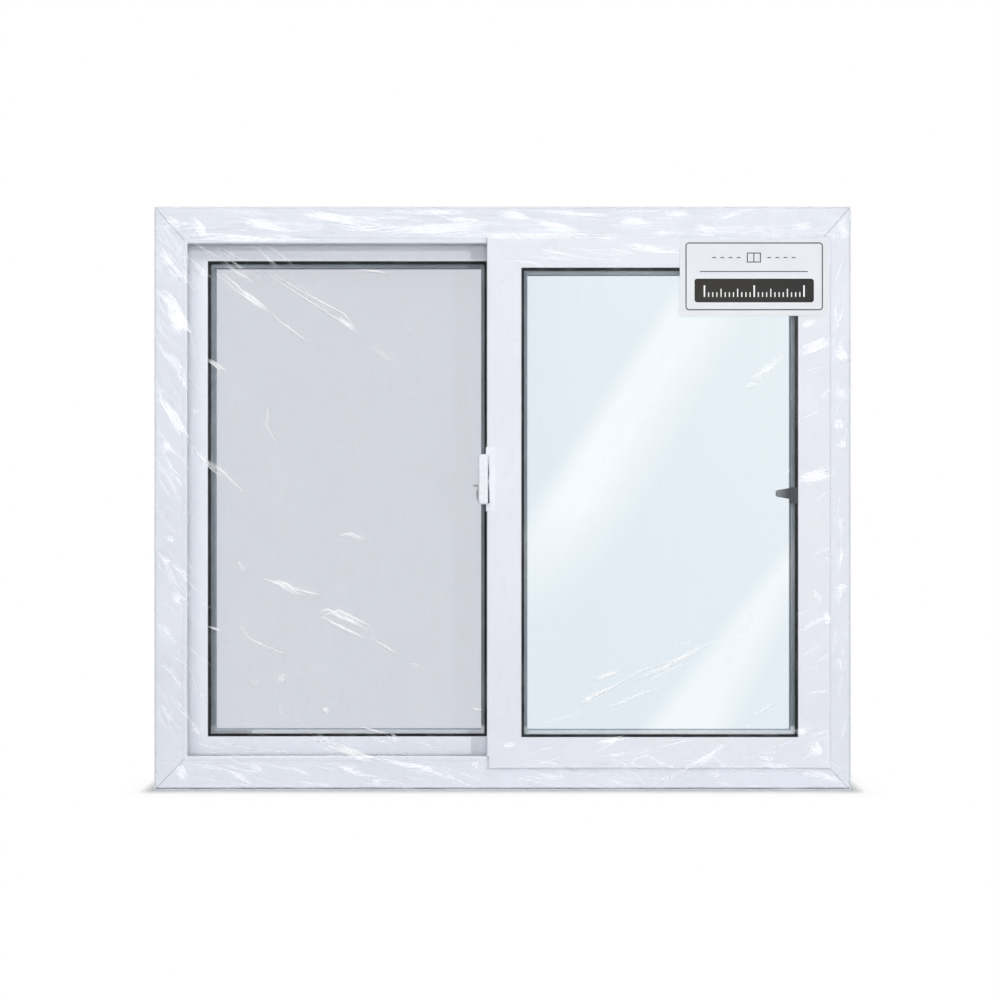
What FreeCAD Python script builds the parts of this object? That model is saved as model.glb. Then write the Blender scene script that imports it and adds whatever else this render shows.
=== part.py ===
import FreeCAD, Part
import math
import os

# Horizontal sliding window, two sashes on two tracks, with a sliding insect screen on a third track outside.
# Millimetres. X runs along the sill, Y from the room to the outside, Z up.
# The origin is the middle of the sill's underside, half way along the window.

# Outer frame
frame_width = 1200.0
frame_height = 1005.0
frame_front_y = -45.0
frame_back_margin = 3.0
floor_thickness = 27.0
frame_edge_radius = 1.5

# The rails that the sashes straddle, measured from the frame's outer edge
sill_rail_reach = 59.0
head_rail_reach = 63.5
jamb_rail_reach = 57.0
rail_thickness = 12.0
rail_tip_radius = 3.0
face_groove_width = 1.6
face_groove_depth = 1.0
face_groove_inset = 8.0

# Fin for the insect screen
screen_fin_thickness = 2.4
screen_fin_reach = 40.0

# Drain slots in the outside of the sill
drain_count = 3
drain_length = 30.0
drain_height = 5.0
drain_depth = 6.0
drain_pitch = 420.0
drain_below_floor = 15.0

# Sashes
sash_depth = 42.0
sash_proud = 7.0
sash_gap = 4.0
meeting_stile_width = 59.4
sash_edge_radius = 2.5
sash_lip_radius = 1.2
rail_side_clearance = 2.0

# Room between each sash's leg tips and the floor of the frame's channel
front_leg_clearance = {"bottom": 11.0, "top": 26.0, "jamb": 9.6}
rear_leg_clearance = {"bottom": 6.0, "top": 10.0, "jamb": 3.0}
# Room between a rail's tip and the groove in the sash
front_groove_clearance = {"bottom": 15.0, "top": 23.0, "jamb": 10.6}
rear_groove_clearance = {"bottom": 10.0, "top": 5.5, "jamb": 4.0}
# Solid height between that groove and the rebate for the glass
chamber_height = {"bottom": 7.0, "top": 8.5, "jamb": 13.5}

# Meeting stiles: the front sash ends this far left of the window's middle
meeting_edge_offset = 27.1
meeting_foot_notch = 4.0

# Glazing
glazing_lip_thickness = 3.5
glazing_rebate = 11.0
glass_edge_cover = 8.0
front_gasket_thickness = 2.5
front_gasket_reach = 4.5
back_gasket_thickness = 2.0
back_gasket_reach = 4.0
gasket_hold = 5.0
pane_thickness = 4.0
cavity = 8.0
spacer_width = 7.5
spacer_sightline = 10.5
bead_reach = 10.0
bead_nose = 3.0
bead_slope = 0.8
bar_joint = 0.3

# Aluminium running strips on the lower rails
strip_width = 8.0
strip_height = 1.8

# Rollers
roller_radius = 5.5
roller_thickness = 6.0
roller_housing_length = 54.0
roller_housing_width = 12.4
roller_pocket_depth = 4.0
roller_pocket_clearance = 0.3
roller_inset = 95.0
roller_running_gap = 0.2
roller_housing_lift = 2.5

# Pile seals on the inside of each sash's front leg
pile_width = 6.0
pile_inset = 3.0
pile_gap = 0.2
pile_end_gap = 8.0

# Interlocks between the meeting stiles
interlock_sheet = 1.4
interlock_base = 21.0
interlock_tip_gap = 0.6
interlock_inset = 22.5
interlock_hook_gap = 2.6
interlock_end_gap = 30.0

# Lock on the front sash's meeting stile
lock_above_middle = 32.7
lock_plate_height = 110.0
lock_plate_face = 14.5
lock_plate_thickness = 1.6
lock_plate_wrap = 16.0
lock_body_width = 16.8
lock_body_height = 86.0
lock_body_depth = 10.0
lock_body_overhang = 14.6
lock_body_radius = 5.0
lock_body_front_radius = 3.5
lock_carrier_side = 10.0
lock_carrier_thickness = 2.4
lock_carrier_margin = 2.4
lock_carrier_inset = 2.0
lock_hook_reach = 3.5
lock_hook_height = 21.5
lock_lug_reach = 9.0
lock_lug_height = 4.0
lock_lug_rise = 30.0
keeper_width = 14.0
keeper_height = 60.0
keeper_thickness = 2.0
keeper_inset = 3.0

# Dark lever on the front sash's glass, with a foot over the gasket beside the jamb stile
lever_above_middle = 8.5
lever_tip_inset = 37.8
lever_taper_length = 23.2
lever_root_half_height = 9.2
lever_tip_half_height = 5.2
lever_tip_radius = 3.8
lever_glass_gap = 0.1
lever_thickness = 4.8
lever_rim_radius = 1.6
lever_foot_width = 13.4
lever_foot_rise = 10.4
lever_foot_drop = 17.4
lever_foot_thickness = 2.6
lever_foot_lip_gap = 0.6
lever_foot_radius = 1.5

# Insect screen
screen_bar_width = 28.0
screen_bar_depth = 9.5
screen_sash_gap = 2.5
screen_front_leg = 2.5
screen_gap = {"bottom": 6.0, "top": 8.0, "left": 5.0}
screen_meeting_setback = 3.0
screen_groove_clearance = 1.0
screen_fin_tip_clearance = 2.0
screen_step_width = 8.0
screen_step_depth = 6.0
mesh_thickness = 0.6
mesh_hold = 7.0
spline_width = 5.0
spline_depth = 4.0
spline_gap = 1.0
screen_bar_radius = 1.0

# Clear stretch film over the room side, tight over the front sash and the lock
film_thickness = 0.2
film_cling = 0.05
film_edge_margin = 1.5
film_lift_run = 10.6
film_lift_before_opening = 3.0
film_lock_margin = 1.0
film_fall_left_of_lock = 1.7
film_fall_right_of_lock = 1.3

# Paper label over the front sash's upper outer corner
label_width = 254.6
label_height = 132.5
label_side_inset = 41.1
label_top_inset = 56.3
label_thickness = 0.8
label_gap = 0.15
label_radius = 3.0


def rounded_edges(corners, place):
    """Edges of a closed outline; each corner is (a, b, radius) and place maps (a, b) to a point in space."""
    starts = []
    ends = []
    middles = []
    count = len(corners)
    for i in range(count):
        before = corners[i - 1]
        here = corners[i]
        after = corners[(i + 1) % count]
        radius = here[2]
        to_before = (before[0] - here[0], before[1] - here[1])
        to_after = (after[0] - here[0], after[1] - here[1])
        length_before = math.hypot(*to_before)
        length_after = math.hypot(*to_after)
        unit_before = (to_before[0] / length_before, to_before[1] / length_before)
        unit_after = (to_after[0] / length_after, to_after[1] / length_after)
        if radius <= 0.0:
            starts.append((here[0], here[1]))
            ends.append((here[0], here[1]))
            middles.append(None)
            continue
        cosine = unit_before[0] * unit_after[0] + unit_before[1] * unit_after[1]
        half_angle = math.acos(max(-1.0, min(1.0, cosine))) / 2.0
        run = radius / math.tan(half_angle)
        bisector = (unit_before[0] + unit_after[0], unit_before[1] + unit_after[1])
        bisector_length = math.hypot(*bisector)
        to_centre = radius / math.sin(half_angle)
        to_middle = (to_centre - radius) / bisector_length
        starts.append((here[0] + unit_before[0] * run, here[1] + unit_before[1] * run))
        ends.append((here[0] + unit_after[0] * run, here[1] + unit_after[1] * run))
        middles.append((here[0] + bisector[0] * to_middle, here[1] + bisector[1] * to_middle))
    edges = []
    for i in range(count):
        if middles[i] is not None:
            arc = Part.Arc(place(*starts[i]), place(*middles[i]), place(*ends[i]))
            edges.append(arc.toShape())
        following = (i + 1) % count
        edges.append(Part.makeLine(place(*ends[i]), place(*starts[following])))
    return edges


def prism(corners, place, direction):
    """Solid made by pushing a rounded outline along a direction."""
    outline = Part.Wire(rounded_edges(corners, place))
    return Part.Face(outline).extrude(direction)


def box(x0, x1, y0, y1, z0, z1):
    return Part.makeBox(x1 - x0, y1 - y0, z1 - z0, FreeCAD.Vector(x0, y0, z0))


def grown(rect, amount):
    """A rectangle (x0, x1, z0, z1) made larger on every side."""
    x0, x1, z0, z1 = rect
    return (x0 - amount, x1 + amount, z0 - amount, z1 + amount)


def mitre_block(side, outer, inner, y0, y1, trim):
    """The space of one mitred bar between an outer and an inner rectangle."""
    ox0, ox1, oz0, oz1 = outer
    ix0, ix1, iz0, iz1 = inner
    if side == "bottom":
        points = [(ox0 + trim, oz0), (ox1 - trim, oz0), (ix1 - trim, iz0), (ix0 + trim, iz0)]
    elif side == "top":
        points = [(ox0 + trim, oz1), (ox1 - trim, oz1), (ix1 - trim, iz1), (ix0 + trim, iz1)]
    elif side == "left":
        points = [(ox0, oz0), (ox0, oz1), (ix0, iz1), (ix0, iz0)]
    else:
        points = [(ox1, oz0), (ox1, oz1), (ix1, iz1), (ix1, iz0)]
    corners = [(x, z, 0.0) for x, z in points]
    return prism(corners, lambda x, z: FreeCAD.Vector(x, y0, z), FreeCAD.Vector(0, y1 - y0, 0))


def mitred_bar(side, section, outer, inner, trim=0.0):
    """One bar of a rectangular frame; section corners are (inward from the outer edge, y, radius)."""
    ox0, ox1, oz0, oz1 = outer
    width = ox1 - ox0
    height = oz1 - oz0
    if side == "bottom":
        place = lambda u, y: FreeCAD.Vector(ox0, y, oz0 + u)
        along = FreeCAD.Vector(width, 0, 0)
    elif side == "top":
        place = lambda u, y: FreeCAD.Vector(ox0, y, oz1 - u)
        along = FreeCAD.Vector(width, 0, 0)
    elif side == "left":
        place = lambda u, y: FreeCAD.Vector(ox0 + u, y, oz0)
        along = FreeCAD.Vector(0, 0, height)
    else:
        place = lambda u, y: FreeCAD.Vector(ox1 - u, y, oz0)
        along = FreeCAD.Vector(0, 0, height)
    depths = [corner[1] for corner in section]
    block = mitre_block(side, outer, inner, min(depths), max(depths), trim)
    return prism(section, place, along).common(block)


def bar_ring(section, outer, inner):
    """Four bars of one section round a rectangle, with a hair joint at each corner."""
    sides = ["bottom", "top", "left", "right"]
    bars = [mitred_bar(side, section, outer, inner, bar_joint) for side in sides]
    return Part.makeCompound([solid for bar in bars for solid in bar.Solids])


# Levels and rectangles worked out from the sizes above
frame_left = -frame_width / 2.0
frame_right = frame_width / 2.0
frame_middle_z = frame_height / 2.0
track_pitch = sash_depth + sash_gap
front_rail_y = frame_front_y
rear_rail_y = front_rail_y + track_pitch
frame_outer = (frame_left, frame_right, 0.0, frame_height)
rail_opening = (
    frame_left + jamb_rail_reach,
    frame_right - jamb_rail_reach,
    sill_rail_reach,
    frame_height - head_rail_reach,
)
front_sash_y = frame_front_y - sash_proud
rear_sash_y = front_sash_y + track_pitch
groove_front = sash_proud - rail_side_clearance
groove_back = sash_proud + rail_thickness + rail_side_clearance

screen_front_y = rear_sash_y + sash_depth + screen_sash_gap
screen_back_y = screen_front_y + screen_bar_depth
screen_fin_y = screen_front_y + screen_front_leg + screen_groove_clearance
frame_back_y = screen_back_y + frame_back_margin


def groove_depths(leg_clearance, groove_clearance):
    """Depth of the grooves that straddle the rails, from the sash's outer edge."""
    reach = {"bottom": sill_rail_reach, "top": head_rail_reach, "jamb": jamb_rail_reach}
    return {
        edge: reach[edge] - floor_thickness - leg_clearance[edge] + groove_clearance[edge]
        for edge in reach
    }


def bar_widths(depths):
    """Face widths of a sash's bars: groove, solid chamber and rebate."""
    return {edge: depths[edge] + chamber_height[edge] + glazing_rebate for edge in depths}


front_grooves = groove_depths(front_leg_clearance, front_groove_clearance)
rear_grooves = groove_depths(rear_leg_clearance, rear_groove_clearance)
front_widths = bar_widths(front_grooves)
rear_widths = bar_widths(rear_grooves)
front_sash_outer = (
    -meeting_edge_offset,
    frame_right - floor_thickness - front_leg_clearance["jamb"],
    floor_thickness + front_leg_clearance["bottom"],
    frame_height - floor_thickness - front_leg_clearance["top"],
)
rear_sash_outer = (
    frame_left + floor_thickness + rear_leg_clearance["jamb"],
    -meeting_edge_offset + meeting_stile_width,
    floor_thickness + rear_leg_clearance["bottom"],
    frame_height - floor_thickness - rear_leg_clearance["top"],
)
front_aperture = (
    front_sash_outer[0] + meeting_stile_width,
    front_sash_outer[1] - front_widths["jamb"],
    front_sash_outer[2] + front_widths["bottom"],
    front_sash_outer[3] - front_widths["top"],
)
rear_aperture = (
    rear_sash_outer[0] + rear_widths["jamb"],
    rear_sash_outer[1] - meeting_stile_width,
    rear_sash_outer[2] + rear_widths["bottom"],
    rear_sash_outer[3] - rear_widths["top"],
)
glass_front = glazing_lip_thickness + front_gasket_thickness
spacer_front = glass_front + pane_thickness
spacer_back = spacer_front + cavity
glass_back = spacer_back + pane_thickness
bead_front = glass_back + back_gasket_thickness
strip_top_z = sill_rail_reach + strip_height


def frame_section(reach):
    """Outer frame: a floor with two rails, the screen's fin and a fine groove near the front rail's tip."""
    groove_end = reach - face_groove_inset
    groove_start = groove_end - face_groove_width
    groove_bottom = frame_front_y + face_groove_depth
    front_back = front_rail_y + rail_thickness
    rear_back = rear_rail_y + rail_thickness
    fin_back = screen_fin_y + screen_fin_thickness
    return [
        (0.0, frame_front_y, frame_edge_radius),
        (groove_start, frame_front_y, 0.0),
        (groove_start, groove_bottom, 0.0),
        (groove_end, groove_bottom, 0.0),
        (groove_end, frame_front_y, 0.0),
        (reach, frame_front_y, rail_tip_radius),
        (reach, front_back, rail_tip_radius),
        (floor_thickness, front_back, 0.0),
        (floor_thickness, rear_rail_y, 0.0),
        (reach, rear_rail_y, rail_tip_radius),
        (reach, rear_back, rail_tip_radius),
        (floor_thickness, rear_back, 0.0),
        (floor_thickness, screen_fin_y, 0.0),
        (screen_fin_reach, screen_fin_y, 0.0),
        (screen_fin_reach, fin_back, 0.0),
        (floor_thickness, fin_back, 0.0),
        (floor_thickness, frame_back_y, frame_edge_radius),
        (0.0, frame_back_y, frame_edge_radius),
    ]


def frame_nodes():
    """Sill, head and two jambs, mitred at the corners."""
    sill = mitred_bar("bottom", frame_section(sill_rail_reach), frame_outer, rail_opening)
    first = -drain_pitch * (drain_count - 1) / 2.0
    drain_z = floor_thickness - drain_below_floor
    for i in range(drain_count):
        centre = first + i * drain_pitch
        sill = sill.cut(box(
            centre - drain_length / 2.0,
            centre + drain_length / 2.0,
            frame_back_y - drain_depth,
            frame_back_y + drain_depth,
            drain_z - drain_height / 2.0,
            drain_z + drain_height / 2.0,
        ))
    jamb = frame_section(jamb_rail_reach)
    return {
        "frame_sill": sill,
        "frame_head": mitred_bar("top", frame_section(head_rail_reach), frame_outer, rail_opening),
        "frame_left_jamb": mitred_bar("left", jamb, frame_outer, rail_opening),
        "frame_right_jamb": mitred_bar("right", jamb, frame_outer, rail_opening),
    }


def running_strip(rail_y):
    """Aluminium strip with a crowned top, on the tip of a lower rail."""
    middle = rail_y + rail_thickness / 2.0
    corners = [
        (middle - strip_width / 2.0, sill_rail_reach, 0.0),
        (middle + strip_width / 2.0, sill_rail_reach, 0.0),
        (middle + strip_width / 2.0, strip_top_z, strip_height / 2.0),
        (middle - strip_width / 2.0, strip_top_z, strip_height / 2.0),
    ]
    place = lambda y, z: FreeCAD.Vector(rail_opening[0], y, z)
    return prism(corners, place, FreeCAD.Vector(rail_opening[1] - rail_opening[0], 0, 0))


def sash_section(width, front_y, groove_depth):
    """Stile or rail of a sash; groove_depth is 0 on a meeting stile, which straddles no rail."""
    lip_back = front_y + glazing_lip_thickness
    back = front_y + sash_depth
    section = [
        (0.0, front_y, sash_edge_radius),
        (width, front_y, sash_lip_radius),
        (width, lip_back, 0.0),
        (width - glazing_rebate, lip_back, 0.0),
        (width - glazing_rebate, back, 0.0),
        (0.0, back, sash_edge_radius),
    ]
    if groove_depth > 0.0:
        section += [
            (0.0, front_y + groove_back, 0.0),
            (groove_depth, front_y + groove_back, 0.0),
            (groove_depth, front_y + groove_front, 0.0),
            (0.0, front_y + groove_front, 0.0),
        ]
    return section


def roller_centres(outer):
    return [outer[0] + roller_inset, outer[1] - roller_inset]


def roller_pocket_top(outer, depths):
    return outer[2] + depths["bottom"] + roller_pocket_depth


def sash_bars(prefix, outer, aperture, front_y, depths, jamb_side, meeting_side):
    """Four mitred bars of a sash, with pockets for the rollers in the bottom rail."""
    widths = bar_widths(depths)
    sections = {
        "bottom": sash_section(widths["bottom"], front_y, depths["bottom"]),
        "top": sash_section(widths["top"], front_y, depths["top"]),
        jamb_side: sash_section(widths["jamb"], front_y, depths["jamb"]),
        meeting_side: sash_section(meeting_stile_width, front_y, 0.0),
    }
    names = {
        "bottom": prefix + "_bottom_rail",
        "top": prefix + "_top_rail",
        jamb_side: prefix + "_jamb_stile",
        meeting_side: prefix + "_meeting_stile",
    }
    nodes = {}
    for side, section in sections.items():
        nodes[names[side]] = mitred_bar(side, section, outer, aperture)
    through = {
        "bottom": (outer[2], outer[2] + depths["bottom"]),
        "top": (outer[3] - depths["top"], outer[3]),
    }
    for z0, z1 in through.values():
        nodes[names[meeting_side]] = nodes[names[meeting_side]].cut(box(
            outer[0], outer[1], front_y + groove_front, front_y + groove_back, z0, z1))
    if meeting_side == "left":
        nodes[names[meeting_side]] = nodes[names[meeting_side]].cut(box(
            outer[0],
            outer[0] + meeting_foot_notch,
            front_y,
            front_y + groove_front,
            outer[2],
            sill_rail_reach,
        ))
    rail_middle = front_y + sash_proud + rail_thickness / 2.0
    pocket_half_length = roller_housing_length / 2.0 + roller_pocket_clearance
    pocket_half_width = roller_housing_width / 2.0 + roller_pocket_clearance
    for centre in roller_centres(outer):
        nodes[names["bottom"]] = nodes[names["bottom"]].cut(box(
            centre - pocket_half_length,
            centre + pocket_half_length,
            rail_middle - pocket_half_width,
            rail_middle + pocket_half_width,
            outer[2],
            roller_pocket_top(outer, depths),
        ))
    return nodes


def rollers(outer, front_y, depths):
    """Two wheels in their housings, under the sash, on the running strip."""
    rail_middle = front_y + sash_proud + rail_thickness / 2.0
    wheel_z = strip_top_z + roller_running_gap + roller_radius
    solids = []
    for centre in roller_centres(outer):
        wheel = Part.makeCylinder(
            roller_radius,
            roller_thickness,
            FreeCAD.Vector(centre, rail_middle - roller_thickness / 2.0, wheel_z),
            FreeCAD.Vector(0, 1, 0),
        )
        housing = box(
            centre - roller_housing_length / 2.0,
            centre + roller_housing_length / 2.0,
            rail_middle - roller_housing_width / 2.0,
            rail_middle + roller_housing_width / 2.0,
            strip_top_z + roller_housing_lift,
            roller_pocket_top(outer, depths),
        )
        solids += housing.fuse(wheel).Solids
    return Part.makeCompound(solids)


def pile_seals(outer, aperture, front_y, jamb_side):
    """Brush strips between the sash's front leg and the rail it straddles."""
    y0 = front_y + groove_front
    y1 = y0 + rail_side_clearance - pile_gap
    x0 = outer[0] + pile_end_gap
    x1 = outer[1] - pile_end_gap
    if jamb_side == "left":
        x0 = aperture[0]
    else:
        x1 = aperture[1]
    z0 = aperture[2]
    z1 = aperture[3]
    low = outer[2] + pile_inset
    high = outer[3] - pile_inset
    solids = [
        box(x0, x1, y0, y1, low, low + pile_width),
        box(x0, x1, y0, y1, max(high - pile_width, rail_opening[3]), high),
    ]
    if jamb_side == "left":
        edge = outer[0] + pile_inset
        solids.append(box(edge, edge + pile_width, y0, y1, z0, z1))
    else:
        edge = outer[1] - pile_inset
        solids.append(box(edge - pile_width, edge, y0, y1, z0, z1))
    return Part.makeCompound(solids)


def flat_bar_section(low, high, y0, y1):
    return [(low, y0, 0.0), (high, y0, 0.0), (high, y1, 0.0), (low, y1, 0.0)]


def glazing(prefix, aperture, front_y):
    """Gaskets, two panes with their spacer and edge seal, and the beads that hold them in."""
    rebate = grown(aperture, glazing_rebate)
    unit = grown(aperture, glass_edge_cover)
    gasket_outer = grown(aperture, gasket_hold)
    sealed = glass_edge_cover + spacer_sightline - spacer_width
    y_glass = front_y + glass_front
    y_spacer = front_y + spacer_front
    y_cavity_end = front_y + spacer_back
    y_glass_end = front_y + glass_back
    y_bead = front_y + bead_front
    y_back = front_y + sash_depth
    front_seal = flat_bar_section(
        0.0, gasket_hold + front_gasket_reach, front_y + glazing_lip_thickness, y_glass)
    back_seal = flat_bar_section(0.0, gasket_hold + back_gasket_reach, y_glass_end, y_bead)
    spacer = flat_bar_section(
        sealed, glass_edge_cover + spacer_sightline, y_spacer, y_cavity_end)
    edge_seal = flat_bar_section(0.0, sealed, y_spacer, y_cavity_end)
    bead = [
        (0.0, y_bead, 0.0),
        (glazing_rebate + bead_reach, y_bead, 0.0),
        (glazing_rebate + bead_reach, y_bead + bead_nose, 0.0),
        (glazing_rebate + bead_reach - bead_slope, y_back, 1.0),
        (0.0, y_back, 0.0),
    ]
    x0, x1, z0, z1 = unit
    return {
        prefix + "_front_gasket": bar_ring(front_seal, gasket_outer, grown(aperture, -front_gasket_reach)),
        prefix + "_inner_pane": box(x0, x1, y_glass, y_spacer, z0, z1),
        prefix + "_spacer": bar_ring(spacer, unit, grown(aperture, -spacer_sightline)),
        prefix + "_edge_seal": bar_ring(edge_seal, unit, grown(unit, -sealed)),
        prefix + "_outer_pane": box(x0, x1, y_cavity_end, y_glass_end, z0, z1),
        prefix + "_back_gasket": bar_ring(back_seal, gasket_outer, grown(aperture, -back_gasket_reach)),
        prefix + "_glazing_beads": bar_ring(bead, rebate, grown(aperture, -bead_reach)),
    }


def interlocks():
    """Two hooked strips that meet between the meeting stiles."""
    z0 = front_sash_outer[2] + interlock_end_gap
    z1 = front_sash_outer[3] - interlock_end_gap
    height = FreeCAD.Vector(0, 0, z1 - z0)
    place = lambda x, y: FreeCAD.Vector(x, y, z0)
    interlock_hook = sash_gap - interlock_tip_gap
    front_face = front_sash_y + sash_depth
    front_x = front_sash_outer[0] + interlock_inset
    front = [
        (front_x - interlock_base, front_face, 0.0),
        (front_x - interlock_base, front_face + interlock_sheet, 0.0),
        (front_x - interlock_sheet, front_face + interlock_sheet, 0.0),
        (front_x - interlock_sheet, front_face + interlock_hook, 0.0),
        (front_x, front_face + interlock_hook, 0.0),
        (front_x, front_face, 0.0),
    ]
    rear_face = rear_sash_y
    rear_x = front_x + interlock_hook_gap
    rear = [
        (rear_x + interlock_base, rear_face, 0.0),
        (rear_x + interlock_base, rear_face - interlock_sheet, 0.0),
        (rear_x + interlock_sheet, rear_face - interlock_sheet, 0.0),
        (rear_x + interlock_sheet, rear_face - interlock_hook, 0.0),
        (rear_x, rear_face - interlock_hook, 0.0),
        (rear_x, rear_face, 0.0),
    ]
    return {
        "front_interlock": prism(front, place, height),
        "rear_interlock": prism(rear, place, height),
    }


def lock():
    """White lock wrapped round the free edge of the front sash's meeting stile, with its hook and keeper."""
    edge_x = front_sash_outer[0]
    face_y = front_sash_y
    lock_centre_z = frame_middle_z + lock_above_middle
    half_plate = lock_plate_height / 2.0
    outer = box(
        edge_x - lock_plate_thickness,
        edge_x + lock_plate_face,
        face_y - lock_plate_thickness,
        face_y + lock_plate_wrap,
        lock_centre_z - half_plate,
        lock_centre_z + half_plate,
    )
    stile = box(
        edge_x,
        edge_x + meeting_stile_width,
        face_y,
        face_y + sash_depth,
        lock_centre_z - lock_plate_height,
        lock_centre_z + lock_plate_height,
    )
    plate = outer.cut(stile)
    body_left = edge_x - lock_body_overhang
    body_right = body_left + lock_body_width
    body_low = lock_centre_z - lock_body_height / 2.0
    body_high = lock_centre_z + lock_body_height / 2.0
    carrier_back = face_y - lock_plate_thickness
    carrier_front = carrier_back - lock_carrier_thickness
    body_front = carrier_front - lock_body_depth
    body_corners = [
        (body_left, body_low, lock_body_radius),
        (body_right, body_low, lock_body_radius),
        (body_right, body_high, lock_body_radius),
        (body_left, body_high, lock_body_radius),
    ]
    body = prism(
        body_corners,
        lambda x, z: FreeCAD.Vector(x, body_front, z),
        FreeCAD.Vector(0, lock_body_depth, 0),
    )
    front_rim = [e for e in body.Edges if abs(e.BoundBox.YMax - body_front) < 0.001]
    body = body.makeFillet(lock_body_front_radius, front_rim)
    carrier_low = body_low + lock_carrier_inset
    carrier_high = body_high - lock_carrier_inset
    hook_x = body_left - lock_hook_reach
    lug_x = body_left - lock_lug_reach
    lug_low = body_low + lock_lug_rise
    carrier_corners = [
        (body_left + lock_carrier_side, carrier_low, 0.0),
        (body_right + lock_carrier_margin, carrier_low, 1.0),
        (body_right + lock_carrier_margin, carrier_high, 1.0),
        (body_left + lock_carrier_side, carrier_high, 0.0),
        (body_left + lock_carrier_side, lug_low + lock_lug_height, 0.0),
        (lug_x, lug_low + lock_lug_height, 1.0),
        (lug_x, lug_low, 1.0),
        (body_left, lug_low, 0.0),
        (hook_x, carrier_low + lock_hook_height, 1.0),
        (hook_x, carrier_low + lock_hook_height / 2.0, 1.0),
        (body_left, carrier_low, 0.0),
    ]
    carrier = prism(
        carrier_corners,
        lambda x, z: FreeCAD.Vector(x, carrier_front, z),
        FreeCAD.Vector(0, lock_carrier_thickness, 0),
    )
    keeper = box(
        rear_aperture[1] + keeper_inset,
        rear_aperture[1] + keeper_inset + keeper_width,
        rear_sash_y - keeper_thickness,
        rear_sash_y,
        lock_centre_z - keeper_height / 2.0,
        lock_centre_z + keeper_height / 2.0,
    )
    return {
        "lock_plate": plate,
        "lock_body": body,
        "lock_hook": carrier,
        "lock_keeper": keeper,
    }


def side_lever():
    """Dark tapered lever on the room side of the front sash's glass, with a flat foot over the gasket."""
    glass_y = front_sash_y + glass_front
    gasket_y = front_sash_y + glazing_lip_thickness
    lever_centre_z = frame_middle_z + lever_above_middle
    tip_x = front_aperture[1] - lever_tip_inset
    root_x = tip_x + lever_taper_length
    tongue_right = front_aperture[1] - front_gasket_reach - lever_foot_lip_gap
    tongue_back = glass_y - lever_glass_gap
    tongue_front = tongue_back - lever_thickness
    tongue_corners = [
        (tongue_right, lever_centre_z - lever_root_half_height, 0.5),
        (tongue_right, lever_centre_z + lever_root_half_height, 0.5),
        (root_x, lever_centre_z + lever_root_half_height, 1.0),
        (tip_x, lever_centre_z + lever_tip_half_height, lever_tip_radius),
        (tip_x, lever_centre_z - lever_tip_half_height, lever_tip_radius),
        (root_x, lever_centre_z - lever_root_half_height, 1.0),
    ]
    tongue = prism(
        tongue_corners,
        lambda x, z: FreeCAD.Vector(x, tongue_front, z),
        FreeCAD.Vector(0, lever_thickness, 0),
    )
    rim = [
        e for e in tongue.Edges
        if abs(e.BoundBox.YMax - tongue_front) < 0.001 and e.BoundBox.XMin < tongue_right - 1.0
    ]
    tongue = tongue.makeFillet(lever_rim_radius, rim)
    foot_right = front_aperture[1] - lever_foot_lip_gap
    foot_left = foot_right - lever_foot_width
    foot_back = gasket_y - lever_glass_gap
    foot_low = lever_centre_z - lever_foot_drop
    foot_high = lever_centre_z + lever_foot_rise
    foot_corners = [
        (foot_left, foot_low, lever_foot_radius),
        (foot_right, foot_low, lever_foot_radius),
        (foot_right, foot_high, lever_foot_radius),
        (foot_left, foot_high, lever_foot_radius),
    ]
    foot = prism(
        foot_corners,
        lambda x, z: FreeCAD.Vector(x, foot_back - lever_foot_thickness, z),
        FreeCAD.Vector(0, lever_foot_thickness, 0),
    )
    return {"side_lever": foot.fuse(tongue)}


def insect_screen():
    """Four thin bars that straddle the fin, with the mesh laid in a step and held by a spline."""
    outer = (
        frame_left + floor_thickness + screen_gap["left"],
        rear_sash_outer[1] - screen_meeting_setback,
        floor_thickness + screen_gap["bottom"],
        frame_height - floor_thickness - screen_gap["top"],
    )
    inner = grown(outer, -screen_bar_width)
    y0 = screen_front_y
    y1 = screen_back_y
    step_y = y1 - screen_step_depth
    groove_y0 = screen_fin_y - screen_groove_clearance
    groove_y1 = screen_fin_y + screen_fin_thickness + screen_groove_clearance
    plain = [
        (0.0, y0, screen_bar_radius),
        (screen_bar_width, y0, screen_bar_radius),
        (screen_bar_width, step_y, 0.0),
        (screen_bar_width - screen_step_width, step_y, 0.0),
        (screen_bar_width - screen_step_width, y1, 0.0),
        (0.0, y1, screen_bar_radius),
    ]
    grooved = {}
    for side, gap in screen_gap.items():
        depth = screen_fin_reach - floor_thickness - gap + screen_fin_tip_clearance
        grooved[side] = plain + [
            (0.0, groove_y1, 0.0),
            (depth, groove_y1, 0.0),
            (depth, groove_y0, 0.0),
            (0.0, groove_y0, 0.0),
        ]
    mesh_rect = grown(inner, mesh_hold)
    spline_rect = grown(inner, screen_step_width - spline_gap)
    spline_y = step_y + mesh_thickness
    spline = flat_bar_section(0.0, spline_width, spline_y, spline_y + spline_depth)
    return {
        "screen_bottom_bar": mitred_bar("bottom", grooved["bottom"], outer, inner),
        "screen_top_bar": mitred_bar("top", grooved["top"], outer, inner),
        "screen_left_bar": mitred_bar("left", grooved["left"], outer, inner),
        "screen_right_bar": mitred_bar("right", plain, outer, inner),
        "screen_mesh": box(
            mesh_rect[0], mesh_rect[1], step_y, step_y + mesh_thickness, mesh_rect[2], mesh_rect[3]),
        "screen_spline": bar_ring(spline, spline_rect, grown(spline_rect, -spline_width)),
    }


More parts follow.
